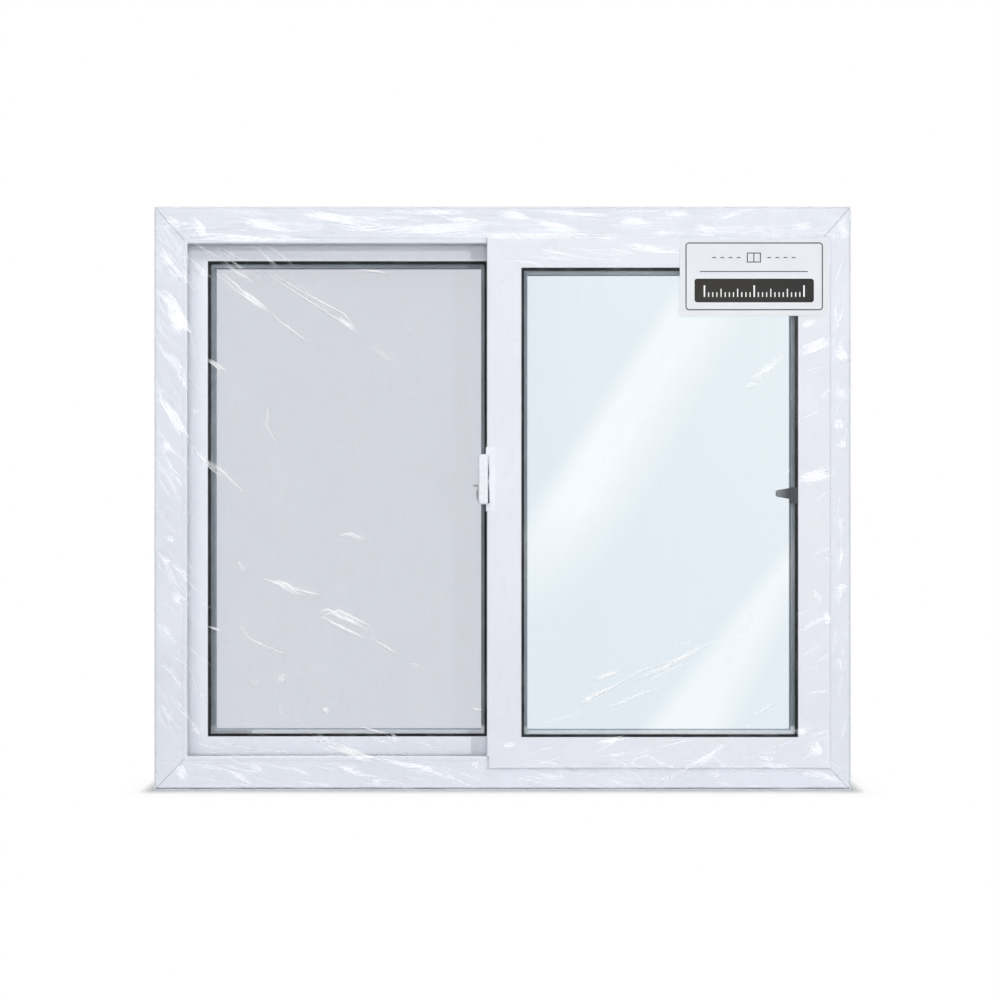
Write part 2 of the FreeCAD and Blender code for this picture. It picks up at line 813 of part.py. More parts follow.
def frustum(base, base_y, top, top_y):
    """Solid between a rectangle (x0, x1, z0, z1) at base_y and a smaller one nearer the room."""
    rings = []
    for (x0, x1, z0, z1), y in ((base, base_y), (top, top_y)):
        rings.append([FreeCAD.Vector(x, y, z) for x, z in ((x0, z0), (x1, z0), (x1, z1), (x0, z1))])
    low, high = rings
    outlines = [low[::-1], high]
    for i in range(4):
        j = (i + 1) % 4
        outlines.append([low[i], low[j], high[j], high[i]])
    faces = [Part.Face(Part.makePolygon(points + points[:1])) for points in outlines]
    solid = Part.makeSolid(Part.makeShell(faces))
    if solid.Volume < 0:
        solid.reverse()
    return solid


def stretch_film():
    """Film laid on the frame's face and pulled over the front sash and the lock, as one thin skin."""
    flat_y = frame_front_y - film_cling
    sash_y = front_sash_y - film_cling
    lock_y = front_sash_y - lock_plate_thickness - lock_carrier_thickness - lock_body_depth - film_cling
    rim = grown(frame_outer, -film_edge_margin)
    under = box(rim[0], rim[1], flat_y, flat_y + film_thickness, rim[2], rim[3])
    lifted = (
        rail_opening[0] - film_lift_before_opening,
        front_sash_outer[1] + film_lift_run,
        front_sash_outer[2] - film_lift_run,
        front_sash_outer[3] + film_lift_run,
    )
    over_sash = frustum(lifted, flat_y, front_sash_outer, sash_y)
    body_left = front_sash_outer[0] - lock_body_overhang
    lock_centre_z = frame_middle_z + lock_above_middle
    lock_top = grown(
        (
            body_left,
            body_left + lock_body_width,
            lock_centre_z - lock_body_height / 2.0,
            lock_centre_z + lock_body_height / 2.0,
        ),
        film_lock_margin,
    )
    fall = flat_y - lock_y
    lock_foot = (
        lock_top[0] - fall * film_fall_left_of_lock,
        lock_top[1] + fall * film_fall_right_of_lock,
        lock_top[2] - fall * film_fall_left_of_lock,
        lock_top[3] + fall * film_fall_left_of_lock,
    )
    over_lock = frustum(lock_foot, flat_y, lock_top, lock_y)
    carried = under.fuse([over_sash, over_lock]).removeSplitter()
    outer = carried.copy()
    outer.translate(FreeCAD.Vector(0, -film_thickness, 0))
    return {"stretch_film": outer.cut(carried)}


def label():
    """Paper label on the film, over the front sash's face."""
    label_right = frame_right - label_side_inset
    label_left = label_right - label_width
    label_top = frame_height - label_top_inset
    label_bottom = label_top - label_height
    corners = [
        (label_left, label_bottom, label_radius),
        (label_right, label_bottom, label_radius),
        (label_right, label_top, label_radius),
        (label_left, label_top, label_radius),
    ]
    front = front_sash_y - film_cling - film_thickness - label_gap - label_thickness
    card = prism(
        corners,
        lambda x, z: FreeCAD.Vector(x, front, z),
        FreeCAD.Vector(0, label_thickness, 0),
    )
    return {"label_card": card}


def build():
    nodes = {}
    nodes.update(frame_nodes())
    nodes["running_strips"] = Part.makeCompound([running_strip(front_rail_y), running_strip(rear_rail_y)])
    sashes = [
        ("right_sash", front_sash_outer, front_aperture, front_sash_y, front_grooves, "right", "left"),
        ("left_sash", rear_sash_outer, rear_aperture, rear_sash_y, rear_grooves, "left", "right"),
    ]
    for prefix, outer, aperture, front_y, depths, jamb_side, meeting_side in sashes:
        nodes.update(sash_bars(prefix, outer, aperture, front_y, depths, jamb_side, meeting_side))
        nodes.update(glazing(prefix, aperture, front_y))
        nodes[prefix + "_rollers"] = rollers(outer, front_y, depths)
        nodes[prefix + "_pile_seals"] = pile_seals(outer, aperture, front_y, jamb_side)
    nodes.update(interlocks())
    nodes.update(lock())
    nodes.update(side_lever())
    nodes.update(insect_screen())
    nodes.update(stretch_film())
    nodes.update(label())
    return nodes


os.makedirs("parts", exist_ok=True)
for name, shape in build().items():
    if not shape.isValid() or not shape.Solids:
        raise ValueError(name + " is not a valid solid")
    shape.exportStep("parts/" + name + ".step")
    print(name, len(shape.Solids), round(shape.Volume))
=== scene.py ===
import math
import random

import bmesh
import bpy
import numpy as np
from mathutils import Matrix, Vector


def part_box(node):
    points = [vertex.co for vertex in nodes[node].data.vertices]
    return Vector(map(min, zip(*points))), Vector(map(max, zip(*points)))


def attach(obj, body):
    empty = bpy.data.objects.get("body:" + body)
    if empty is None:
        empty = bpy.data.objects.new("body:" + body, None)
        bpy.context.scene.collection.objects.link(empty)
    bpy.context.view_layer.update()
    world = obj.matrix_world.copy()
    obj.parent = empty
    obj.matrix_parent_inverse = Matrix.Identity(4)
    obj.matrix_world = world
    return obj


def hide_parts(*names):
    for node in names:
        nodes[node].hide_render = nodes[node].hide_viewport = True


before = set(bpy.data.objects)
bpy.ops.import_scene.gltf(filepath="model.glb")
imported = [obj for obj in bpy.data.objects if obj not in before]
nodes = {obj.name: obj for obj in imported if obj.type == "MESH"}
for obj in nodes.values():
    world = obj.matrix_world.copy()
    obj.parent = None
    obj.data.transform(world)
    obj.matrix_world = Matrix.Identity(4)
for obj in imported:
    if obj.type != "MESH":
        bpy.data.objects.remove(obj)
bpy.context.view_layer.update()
scene = bpy.context.scene
MM = 0.001


# Places that the solids give
def node_box(name):
    """Lowest and highest corner of a named solid, in millimetres."""
    lo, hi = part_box(name)
    return lo / MM, hi / MM


SILL_LO, SILL_HI = node_box("frame_sill")
HEAD_LO, HEAD_HI = node_box("frame_head")
JAMB_LO, JAMB_HI = node_box("frame_left_jamb")
RIGHT_JAMB_LO, RIGHT_JAMB_HI = node_box("frame_right_jamb")
FRONT_STILE_LO, _ = node_box("right_sash_meeting_stile")
_, FRONT_JAMB_HI = node_box("right_sash_jamb_stile")
FRONT_BOTTOM_LO, _ = node_box("right_sash_bottom_rail")
_, FRONT_TOP_HI = node_box("right_sash_top_rail")
REAR_BOTTOM_LO, _ = node_box("left_sash_bottom_rail")
LOCK_LO, LOCK_HI = node_box("lock_body")
PLATE_LO, PLATE_HI = node_box("lock_plate")
CARD_LO, CARD_HI = node_box("label_card")
LEVER_LO, LEVER_HI = node_box("side_lever")
MESH_LO, MESH_HI = node_box("screen_mesh")
FRAME_FRONT = SILL_LO.y
SASH_FRONT = FRONT_BOTTOM_LO.y
REAR_FRONT = REAR_BOTTOM_LO.y


# Camera: level, square to the frame's front
CAMERA_DISTANCE = 3000.0
CAMERA_X = -4.5
CAMERA_Z = 499.7
CAMERA_LENS = 62.7
camera_data = bpy.data.cameras.new("camera")
camera_data.lens = CAMERA_LENS
camera_data.sensor_width = 36.0
camera_data.clip_end = 50.0
camera = bpy.data.objects.new("camera", camera_data)
camera.location = Vector((CAMERA_X, FRAME_FRONT - CAMERA_DISTANCE, CAMERA_Z)) * MM
camera.rotation_euler = (math.radians(90.0), 0.0, 0.0)
scene.collection.objects.link(camera)
scene.camera = camera


# Shader helpers
def srgb(red, green, blue):
    """Linear colour from 8-bit sRGB."""
    def linear(value):
        value /= 255.0
        return value / 12.92 if value <= 0.04045 else ((value + 0.055) / 1.055) ** 2.4
    return (linear(red), linear(green), linear(blue), 1.0)


class Shader:
    """A material's node tree, filled node by node."""

    def __init__(self, name):
        self.material = bpy.data.materials.new(name)
        self.material.use_nodes = True
        self.tree = self.material.node_tree
        self.tree.nodes.clear()
        self.output = self.add("ShaderNodeOutputMaterial")
        self.where = self.add("ShaderNodeTexCoord").outputs["Object"]

    def add(self, kind, **settings):
        node = self.tree.nodes.new(kind)
        for key, value in settings.items():
            setattr(node, key, value)
        return node

    def link(self, source, target):
        self.tree.links.new(source, target)

    def axes(self):
        """The place on the object, as X, Y and Z."""
        node = self.add("ShaderNodeSeparateXYZ")
        self.link(self.where, node.inputs["Vector"])
        return node.outputs

    def stretched(self, scale, turn=(0.0, 0.0, 0.0)):
        mapping = self.add("ShaderNodeMapping")
        mapping.inputs["Scale"].default_value = scale
        mapping.inputs["Rotation"].default_value = turn
        self.link(self.where, mapping.inputs["Vector"])
        return mapping.outputs["Vector"]

    def noise(self, scale, detail=3.0, rough=0.55, vector=None):
        node = self.add("ShaderNodeTexNoise")
        node.inputs["Scale"].default_value = scale
        node.inputs["Detail"].default_value = detail
        node.inputs["Roughness"].default_value = rough
        self.link(vector or self.where, node.inputs["Vector"])
        return node.outputs["Fac"]

    def ramp(self, source, low, high, start=0.3, end=0.7):
        """Maps a value onto low to high, between start and end."""
        node = self.add("ShaderNodeMapRange")
        node.inputs["From Min"].default_value = start
        node.inputs["From Max"].default_value = end
        node.inputs["To Min"].default_value = low
        node.inputs["To Max"].default_value = high
        self.link(source, node.inputs["Value"])
        return node.outputs["Result"]

    def colours(self, source, *stops):
        """Colour ramp: stops are (place, colour)."""
        node = self.add("ShaderNodeValToRGB")
        elements = node.color_ramp.elements
        while len(elements) < len(stops):
            elements.new(0.5)
        for element, (place, colour) in zip(elements, stops):
            element.position = place
            element.color = colour
        self.link(source, node.inputs["Fac"])
        return node.outputs["Color"]

    def math(self, operation, first, second):
        node = self.add("ShaderNodeMath", operation=operation)
        for socket, value in zip(node.inputs, (first, second)):
            if isinstance(value, (int, float)):
                socket.default_value = value
            else:
                self.link(value, socket)
        return node.outputs["Value"]

    def bump(self, source, height):
        node = self.add("ShaderNodeBump")
        node.inputs["Distance"].default_value = height
        node.inputs["Strength"].default_value = 1.0
        self.link(source, node.inputs["Height"])
        return node.outputs["Normal"]

    def mixed(self, amount, first, second):
        """A surface that is the first at 0 and the second at 1."""
        node = self.add("ShaderNodeMixShader")
        self.link(amount, node.inputs["Fac"])
        self.link(first, node.inputs[1])
        self.link(second, node.inputs[2])
        return node.outputs["Shader"]

    def finish(self, surface):
        self.link(surface, self.output.inputs["Surface"])
        return self.material


def plastic(name, dark, light, rough, mottle=9.0, grain=700.0, depth=0.00002, specular=0.5, metallic=0.0,
            grain_stretch=(1.0, 1.0, 1.0)):
    """A moulded, extruded or painted finish: broad colour drift, fine grain, uneven gloss."""
    shader = Shader(name)
    principled = shader.add("ShaderNodeBsdfPrincipled")
    principled.inputs["Metallic"].default_value = metallic
    principled.inputs["Specular IOR Level"].default_value = specular
    drift = shader.noise(mottle, 5.0, 0.6)
    shader.link(shader.colours(drift, (0.32, dark), (0.68, light)), principled.inputs["Base Color"])
    smears = shader.noise(mottle * 5.0, 4.0, 0.7)
    shader.link(shader.ramp(smears, rough[0], rough[1]), principled.inputs["Roughness"])
    fine = shader.noise(grain, 2.0, 0.6, shader.stretched(grain_stretch))
    shader.link(shader.bump(fine, depth), principled.inputs["Normal"])
    return shader.finish(principled.outputs["BSDF"])


pvc = plastic("pvc_white", srgb(226, 229, 237), srgb(231, 234, 242), (0.28, 0.42), 7.0, 900.0, 0.000012)
pvc_right = plastic("pvc_white_plain", srgb(230, 232, 240), srgb(233, 235, 242), (0.26, 0.40), 6.0, 900.0,
                    0.000012)
seal = plastic("seal_black", srgb(20, 21, 24), srgb(34, 35, 39), (0.45, 0.65), 40.0, 1500.0, 0.00003, 0.35)
back_seal = plastic("seal_grey", srgb(196, 200, 204), srgb(214, 218, 222), (0.45, 0.6), 40.0, 1500.0,
                    0.00003, 0.35)
# Painted light: a paler copy of the white uPVC for the rear sash, so that it reads as brightly lit in its
# recess
pvc_rear_lit_copy = plastic("pvc_white_rear_lit_copy", srgb(233, 236, 243), srgb(237, 240, 247), (0.28, 0.42), 7.0, 900.0,
                   0.000012)
edge_sealant = plastic("edge_sealant", srgb(24, 25, 27), srgb(38, 39, 42), (0.5, 0.7), 60.0, 800.0,
                       0.00006, 0.3)
aluminium = plastic("aluminium", srgb(196, 199, 204), srgb(212, 215, 220), (0.25, 0.4), 20.0, 1500.0,
                    0.000008,
                    0.5, 0.9, (0.02, 1.0, 1.0))
roller_plastic = plastic("roller_plastic", srgb(52, 54, 58), srgb(70, 72, 76), (0.4, 0.6), 50.0, 1200.0,
                         0.00002)
pile = plastic("pile_grey", srgb(120, 123, 128), srgb(156, 159, 164), (0.85, 0.95), 160.0, 3200.0, 0.0004,
               0.1)
lock_paint = plastic("lock_white", srgb(234, 236, 244), srgb(240, 242, 248), (0.22, 0.32), 30.0, 1600.0,
                     0.00001)
plate_paint = plastic("lock_plate_white", srgb(236, 238, 246), srgb(241, 243, 249), (0.25, 0.36), 30.0,
                      1600.0,
                      0.00001)
keeper_metal = plastic("lock_steel", srgb(150, 153, 158), srgb(178, 181, 186), (0.35, 0.5), 60.0, 1600.0,
                       0.00002,
                       0.5, 0.5)
screen_paint = plastic("screen_paint", srgb(214, 217, 222), srgb(226, 229, 234), (0.35, 0.5), 12.0,
                       1400.0, 0.00002)
spline_rubber = plastic("screen_spline", srgb(96, 98, 102), srgb(120, 122, 126), (0.6, 0.8), 60.0, 900.0,
                        0.0001, 0.3)
wire_grey = plastic("screen_wire", srgb(219, 216, 216), srgb(227, 224, 224), (0.5, 0.65), 14.0, 3000.0,
                    0.00001, 0.4)
paper = plastic("label_paper", srgb(226, 229, 234), srgb(231, 233, 238), (0.38, 0.5), 22.0, 2400.0,
                0.000006)
print_dark = plastic("label_print_dark", srgb(10, 13, 16), srgb(20, 23, 26), (0.3, 0.45), 40.0, 2600.0,
                     0.000004)
print_line = plastic("label_print_line", srgb(28, 31, 34), srgb(44, 47, 50), (0.35, 0.5), 60.0, 2600.0,
                     0.000004)
print_white = plastic("label_print_white", srgb(244, 246, 248), srgb(252, 252, 252), (0.35, 0.5), 60.0,
                      2600.0, 0.000004)
seam_grey = plastic("weld_seam", srgb(96, 100, 108), srgb(206, 210, 218), (0.5, 0.7), 420.0, 2000.0,
                    0.00006)


def lever_finish():
    """Moulded dark plastic, paler at the tongue's tip and darker towards the foot."""
    shader = Shader("lever_dark")
    principled = shader.add("ShaderNodeBsdfPrincipled")
    axes = shader.axes()
    foot_x = (LEVER_HI.x - 15.0) * MM
    # Paler at the tongue's tip, darker towards the foot
    along = shader.ramp(axes["X"], 0.0, 1.0, LEVER_LO.x * MM, foot_x)
    worn = shader.noise(190.0, 4.0, 0.65)
    blend = shader.math("ADD", along, shader.ramp(worn, -0.12, 0.12))
    shader.link(shader.colours(blend, (0.05, srgb(122, 128, 134)), (0.55, srgb(98, 104, 110)),
                               (0.95, srgb(62, 68, 74))), principled.inputs["Base Color"])
    shader.link(shader.ramp(worn, 0.34, 0.52), principled.inputs["Roughness"])
    shader.link(shader.bump(shader.noise(1800.0, 2.0, 0.6), 0.00002), principled.inputs["Normal"])
    return shader.finish(principled.outputs["BSDF"])


def lock_carrier_finish():
    """The lock's carrier: pale grey at the hook, with a painted shadow of uneven width beside the body."""
    shader = Shader("lock_carrier")
    principled = shader.add("ShaderNodeBsdfPrincipled")
    axes = shader.axes()
    height = shader.ramp(axes["Z"], 0.0, 1.0, LOCK_LO.z * MM, LOCK_HI.z * MM)

    def level(value):
        return (value, value, value, 1.0)

    # Painted shadow: how far the dark strip beside the lock body reaches, by height
    painted_shadow_reach = shader.colours(height, (0.02, level(1.0)), (0.24, level(0.85)), (0.42, level(0.35)),
                         (0.455, level(0.12)), (0.49, level(0.40)), (0.62, level(0.75)),
                         (0.80, level(0.35)), (0.96, level(0.05)))
    beside = shader.math("SUBTRACT", axes["X"], (LOCK_HI.x - 0.1) * MM)
    inside = shader.math("DIVIDE", beside, 2.6 * MM)
    edge = shader.math("SUBTRACT", painted_shadow_reach, inside)
    right_side = shader.math("GREATER_THAN", axes["X"], (LOCK_LO.x + 4.0) * MM)
    dark = shader.math("MULTIPLY", shader.ramp(edge, 0.0, 1.0, -0.06, 0.10), right_side)
    worn = shader.noise(120.0, 4.0, 0.6)
    pale = shader.colours(worn, (0.3, srgb(206, 209, 216)), (0.7, srgb(226, 229, 236)))
    hook = shader.colours(worn, (0.3, srgb(150, 153, 158)), (0.7, srgb(170, 173, 178)))
    # The painted shadow's colour
    shade = shader.colours(worn, (0.3, srgb(30, 31, 36)), (0.7, srgb(52, 54, 60)))
    sides = shader.add("ShaderNodeMix", data_type="RGBA")
    shader.link(right_side, sides.inputs["Factor"])
    shader.link(hook, sides.inputs[6])
    shader.link(pale, sides.inputs[7])
    # Painted shadow laid over the carrier beside the body's right edge
    whole = shader.add("ShaderNodeMix", data_type="RGBA")
    shader.link(dark, whole.inputs["Factor"])
    shader.link(sides.outputs[2], whole.inputs[6])
    shader.link(shade, whole.inputs[7])
    shader.link(whole.outputs[2], principled.inputs["Base Color"])
    shader.link(shader.ramp(worn, 0.35, 0.5), principled.inputs["Roughness"])
    shader.link(shader.bump(shader.noise(1500.0, 2.0, 0.6), 0.00001), principled.inputs["Normal"])
    return shader.finish(principled.outputs["BSDF"])


def spacer_finish(name, low, high):
    """Spacer bar between the panes: brushed grey, with painted light: pale along the bottom as if lit from
    above, paler on the left run and darker on the right run as if lit from the right.
    """
    shader = Shader(name)
    principled = shader.add("ShaderNodeBsdfPrincipled")
    principled.inputs["Metallic"].default_value = 0.15
    axes = shader.axes()
    streaks = shader.noise(60.0, 4.0, 0.6, shader.stretched((0.1, 1.0, 0.1)))
    # Painted light: the left run paler and the right run darker, as if lit from the right
    left = shader.colours(streaks, (0.3, srgb(166, 174, 180)), (0.7, srgb(186, 193, 199)))
    right = shader.colours(streaks, (0.3, srgb(124, 134, 140)), (0.7, srgb(158, 166, 172)))
    # Painted light: the bottom run pale, as if lit from above
    painted_lit_bottom = shader.colours(streaks, (0.3, srgb(232, 236, 240)), (0.7, srgb(246, 248, 250)))
    sides = shader.add("ShaderNodeMix", data_type="RGBA")
    shader.link(shader.ramp(axes["X"], 0.0, 1.0, (low.x + 20.0) * MM, (high.x - 20.0) * MM),
                sides.inputs["Factor"])
    shader.link(left, sides.inputs[6])
    shader.link(right, sides.inputs[7])
    whole = shader.add("ShaderNodeMix", data_type="RGBA")
    shader.link(shader.ramp(axes["Z"], 1.0, 0.0, (low.z + 12.0) * MM, (low.z + 17.0) * MM),
                whole.inputs["Factor"])
    shader.link(sides.outputs[2], whole.inputs[6])
    shader.link(painted_lit_bottom, whole.inputs[7])
    shader.link(whole.outputs[2], principled.inputs["Base Color"])
    shader.link(shader.ramp(streaks, 0.32, 0.48), principled.inputs["Roughness"])
    shader.link(shader.bump(shader.noise(1800.0, 2.0, 0.6), 0.00001), principled.inputs["Normal"])
    return shader.finish(principled.outputs["BSDF"])


lever_paint = lever_finish()
right_spacer = spacer_finish("spacer_grey_right", *node_box("right_sash_spacer"))
left_spacer = spacer_finish("spacer_grey_left", *node_box("left_sash_spacer"))
lock_carrier = lock_carrier_finish()


def glass(name, tint):
    """Clear float glass: tinted see-through, mirror gloss by angle, faint smears."""
    shader = Shader(name)
    clear = shader.add("ShaderNodeBsdfTransparent")
    clear.inputs["Color"].default_value = (*tint, 1.0)
    gloss = shader.add("ShaderNodeBsdfGlossy")
    gloss.inputs["Color"].default_value = (1.0, 1.0, 1.0, 1.0)
    smears = shader.noise(14.0, 5.0, 0.65)
    shader.link(shader.ramp(smears, 0.0, 0.035), gloss.inputs["Roughness"])
    fresnel = shader.add("ShaderNodeFresnel")
    fresnel.inputs["IOR"].default_value = 1.5
    facing = shader.add("ShaderNodeNewGeometry")
    front = shader.math("SUBTRACT", 1.0, facing.outputs["Backfacing"])
    return shader.finish(shader.mixed(shader.math("MULTIPLY", fresnel.outputs["Fac"], front),
                                      clear.outputs["BSDF"], gloss.outputs["BSDF"]))


GLASS_TINT = (0.949, 0.971, 0.9865)
LEFT_GLASS_TINT = (0.956, 0.964, 0.979)
clear_glass = glass("clear_glass", GLASS_TINT)
left_glass = glass("clear_glass_left", LEFT_GLASS_TINT)


def film_material():
    """Clear stretch film: see-through, with a milky haze drawn out in threads."""
    shader = Shader("stretch_film")
    clear = shader.add("ShaderNodeBsdfTransparent")
    clear.inputs["Color"].default_value = (0.995, 0.996, 1.0, 1.0)
    milky = shader.add("ShaderNodeBsdfPrincipled")
    milky.inputs["Base Color"].default_value = srgb(250, 252, 255)
    milky.inputs["Roughness"].default_value = 0.3
    drawn = shader.stretched((1.0, 1.0, 0.35), (0.0, math.radians(-38.0), 0.0))
    threads = shader.noise(26.0, 4.0, 0.65, drawn)
    shader.link(shader.bump(threads, 0.0006), milky.inputs["Normal"])
    return shader.finish(shader.mixed(shader.ramp(threads, 0.0, 0.09, 0.5, 0.85),
                                      clear.outputs["BSDF"], milky.outputs["BSDF"]))


def crease_painted_light_material():
    """A fold of the film: white layers as painted highlights on its wrinkles, or grey as painted shade beside
    them, in fine threads.
    """
    shader = Shader("film_crease_painted_light")
    clear = shader.add("ShaderNodeBsdfTransparent")
    layers = shader.add("ShaderNodeBsdfPrincipled")
    layers.inputs["Roughness"].default_value = 0.24
    body = shader.add("ShaderNodeAttribute", attribute_name="fold")
    run = shader.add("ShaderNodeAttribute", attribute_name="run")
    side = shader.add("ShaderNodeAttribute", attribute_name="side")
    tone = shader.add("ShaderNodeAttribute", attribute_name="tone")
    place = shader.add("ShaderNodeCombineXYZ")
    shader.link(shader.math("MULTIPLY", run.outputs["Fac"], 0.045), place.inputs["X"])
    shader.link(shader.math("MULTIPLY", side.outputs["Fac"], 0.42), place.inputs["Y"])
    threads = shader.noise(1.0, 4.0, 0.6, place.outputs["Vector"])
    patchy = shader.ramp(threads, 0.45, 1.1, 0.36, 0.62)
    # Painted light: tone 0 is a white painted highlight, 0.5 and 1.0 are grey and dark painted shade
    shader.link(shader.colours(tone.outputs["Fac"], (0.0, (0.99, 0.992, 1.0, 1.0)), (0.5, srgb(96, 101, 112)),
                               (1.0, srgb(60, 62, 70))), layers.inputs["Base Color"])
    cover = shader.math("MINIMUM", shader.math("MULTIPLY", body.outputs["Fac"], patchy), 0.97)
    return shader.finish(shader.mixed(cover,
                                      clear.outputs["BSDF"], layers.outputs["BSDF"]))


stretch_film = film_material()
film_crease_painted_light = crease_painted_light_material()


# A finish for every solid: the first entry that its name holds
NODE_FINISH = {
    "stretch_film": stretch_film,
    "frame": pvc,
    "running_strips": aluminium,
    "back_gasket": back_seal,
    "gasket": seal,
    "left_sash_inner_pane": left_glass,
    "left_sash_outer_pane": left_glass,
    "pane": clear_glass,
    "right_sash_spacer": right_spacer,
    "left_sash_spacer": left_spacer,
    "edge_seal": edge_sealant,
    "glazing_beads": pvc_right,
    "rollers": roller_plastic,
    "pile_seals": pile,
    "interlock": pvc_right,
    "lock_plate": plate_paint,
    "lock_body": lock_paint,
    "lock_hook": lock_carrier,
    "lock_keeper": keeper_metal,
    "side_lever": lever_paint,
    "screen_spline": spline_rubber,
    "screen_mesh": wire_grey,
    "screen": screen_paint,
    "label_card": paper,
    "left_sash": pvc_rear_lit_copy,
    "sash": pvc_right,
}
for name, node in nodes.items():
    key = next(k for k in NODE_FINISH if k in name)
    node.data.materials.clear()
    node.data.materials.append(NODE_FINISH[key])


# Mesh helpers, in millimetres
def make_piece(name, mesh_maker, material):
    """A new piece of the object, on the body root."""
    mesh = bpy.data.meshes.new(name)
    shape = bmesh.new()
    mesh_maker(shape)
    bmesh.ops.scale(shape, vec=(MM, MM, MM), verts=shape.verts)
    shape.to_mesh(mesh)
    shape.free()
    mesh.materials.append(material)
    piece = bpy.data.objects.new(name, mesh)
    scene.collection.objects.link(piece)
    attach(piece, "root")
    return piece


def add_outline(shape, outline, back, front):
    """A plate in the X-Z plane: outline points, from y = back to y = front (nearer the room)."""
    near = [shape.verts.new((x, front, z)) for x, z in outline]
    far = [shape.verts.new((x, back, z)) for x, z in outline]
    shape.faces.new(near)
    shape.faces.new(far[::-1])
    for i in range(len(outline)):
        j = (i + 1) % len(outline)
        shape.faces.new((near[j], near[i], far[i], far[j]))


def rounded_rectangle(x0, z0, x1, z1, radius, steps=6):
    """Corner points of a rounded rectangle, one turn."""
    points = []
    for cx, cz, start in ((x1 - radius, z1 - radius, 0), (x0 + radius, z1 - radius, 90),
                          (x0 + radius, z0 + radius, 180), (x1 - radius, z0 + radius, 270)):
        for i in range(steps + 1):
            angle = math.radians(start + 90.0 * i / steps)
            points.append((cx + radius * math.cos(angle), cz + radius * math.sin(angle)))
    return points


# Woven insect screen: straight wires in two layers, at their true gauge and pitch
WIRE_GAUGE = 0.26
WIRE_PITCH = 1.55


def screen_wires(shape):
    middle = (MESH_LO.y + MESH_HI.y) / 2.0
    half = WIRE_GAUGE / 2.0
    ring = [(half, 0.0), (0.0, half), (-half, 0.0), (0.0, -half)]

    def wire(start, end, across):
        ends = []
        for point in (start, end):
            ends.append([shape.verts.new(point + across * a + Vector((0.0, b, 0.0))) for a, b in ring])
        for i in range(4):
            j = (i + 1) % 4
            shape.faces.new((ends[0][i], ends[0][j], ends[1][j], ends[1][i]))
        shape.faces.new(ends[0][::-1])
        shape.faces.new(ends[1])

    count = int((MESH_HI.x - MESH_LO.x - WIRE_PITCH) / WIRE_PITCH)
    first = (MESH_LO.x + MESH_HI.x - count * WIRE_PITCH) / 2.0
    for i in range(count + 1):
        x = first + i * WIRE_PITCH
        y = middle - half
        wire(Vector((x, y, MESH_LO.z)), Vector((x, y, MESH_HI.z)), Vector((1.0, 0.0, 0.0)))
    count = int((MESH_HI.z - MESH_LO.z - WIRE_PITCH) / WIRE_PITCH)
    first = (MESH_LO.z + MESH_HI.z - count * WIRE_PITCH) / 2.0
    for i in range(count + 1):
        z = first + i * WIRE_PITCH
        y = middle + half
        wire(Vector((MESH_LO.x, y, z)), Vector((MESH_HI.x, y, z)), Vector((0.0, 0.0, 1.0)))
    bmesh.ops.recalc_face_normals(shape, faces=shape.faces)


weave = make_piece("screen_weave", screen_wires, wire_grey)
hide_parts("screen_mesh")


# Label print: border line, rule, dark bar, plain ruler ticks and a bare window figure.
# The two sets of margins are from the card's left, bottom, right and top edges.
PRINT_BACK = CARD_LO.y + 0.01
PRINT_FRONT = CARD_LO.y - 0.05
BORDER_MARGINS = (9.8, 9.4, 8.7, 6.6)
BORDER_RADIUS = 6.0
BAR_MARGINS = (25.4, 23.0, 24.2, 68.8)
BAR_RADIUS = 4.6


def on_card(left, bottom, right, top):
    """Corners on the card from margins in millimetres: left and right, bottom and top."""
    return CARD_LO.x + left, CARD_LO.z + bottom, CARD_HI.x - right, CARD_HI.z - top


def card_border(shape):
    line = 1.9
    x0, z0, x1, z1 = on_card(*BORDER_MARGINS)
    outer = rounded_rectangle(x0, z0, x1, z1, BORDER_RADIUS)
    inner = rounded_rectangle(x0 + line, z0 + line, x1 - line, z1 - line, BORDER_RADIUS - line)
    rings = []
    for y in (PRINT_FRONT, PRINT_BACK):
        rings.append([[shape.verts.new((x, y, z)) for x, z in ring] for ring in (outer, inner)])
    for i in range(len(outer)):
        j = (i + 1) % len(outer)
        (near_out, near_in), (far_out, far_in) = rings
        shape.faces.new((near_out[i], near_out[j], near_in[j], near_in[i]))
        shape.faces.new((far_out[i], far_in[i], far_in[j], far_out[j]))
        shape.faces.new((near_out[i], far_out[i], far_out[j], near_out[j]))
        shape.faces.new((near_in[i], near_in[j], far_in[j], far_in[i]))


def card_rule(shape):
    x0, z0, x1, _ = on_card(34.5, 75.3, 34.5, 0.0)
    add_outline(shape, [(x0, z0), (x0, z0 + 1.5), (x1, z0 + 1.5), (x1, z0)], PRINT_BACK, PRINT_FRONT)


def card_bar(shape):
    outline = rounded_rectangle(*on_card(*BAR_MARGINS), BAR_RADIUS)
    add_outline(shape, outline[::-1], PRINT_BACK, PRINT_FRONT)


def card_ticks(shape):
    x0, z0, x1, z1 = on_card(*BAR_MARGINS)
    inset = 17.0
    spaces = 24
    front = PRINT_FRONT - 0.04
    for i in range(spaces + 1):
        x = x0 + inset + (x1 - x0 - 2.0 * inset) * i / spaces
        tall = 20.0 if i % 12 == 0 else 14.0 if i % 4 == 0 else 8.0
        wide = 2.6 if i % 12 == 0 else 1.8
        foot = (z0 + z1) / 2.0 - 11.0
        add_outline(shape, [(x - wide / 2, foot), (x - wide / 2, foot + tall), (x + wide / 2, foot + tall),
                            (x + wide / 2, foot)], PRINT_FRONT, front)


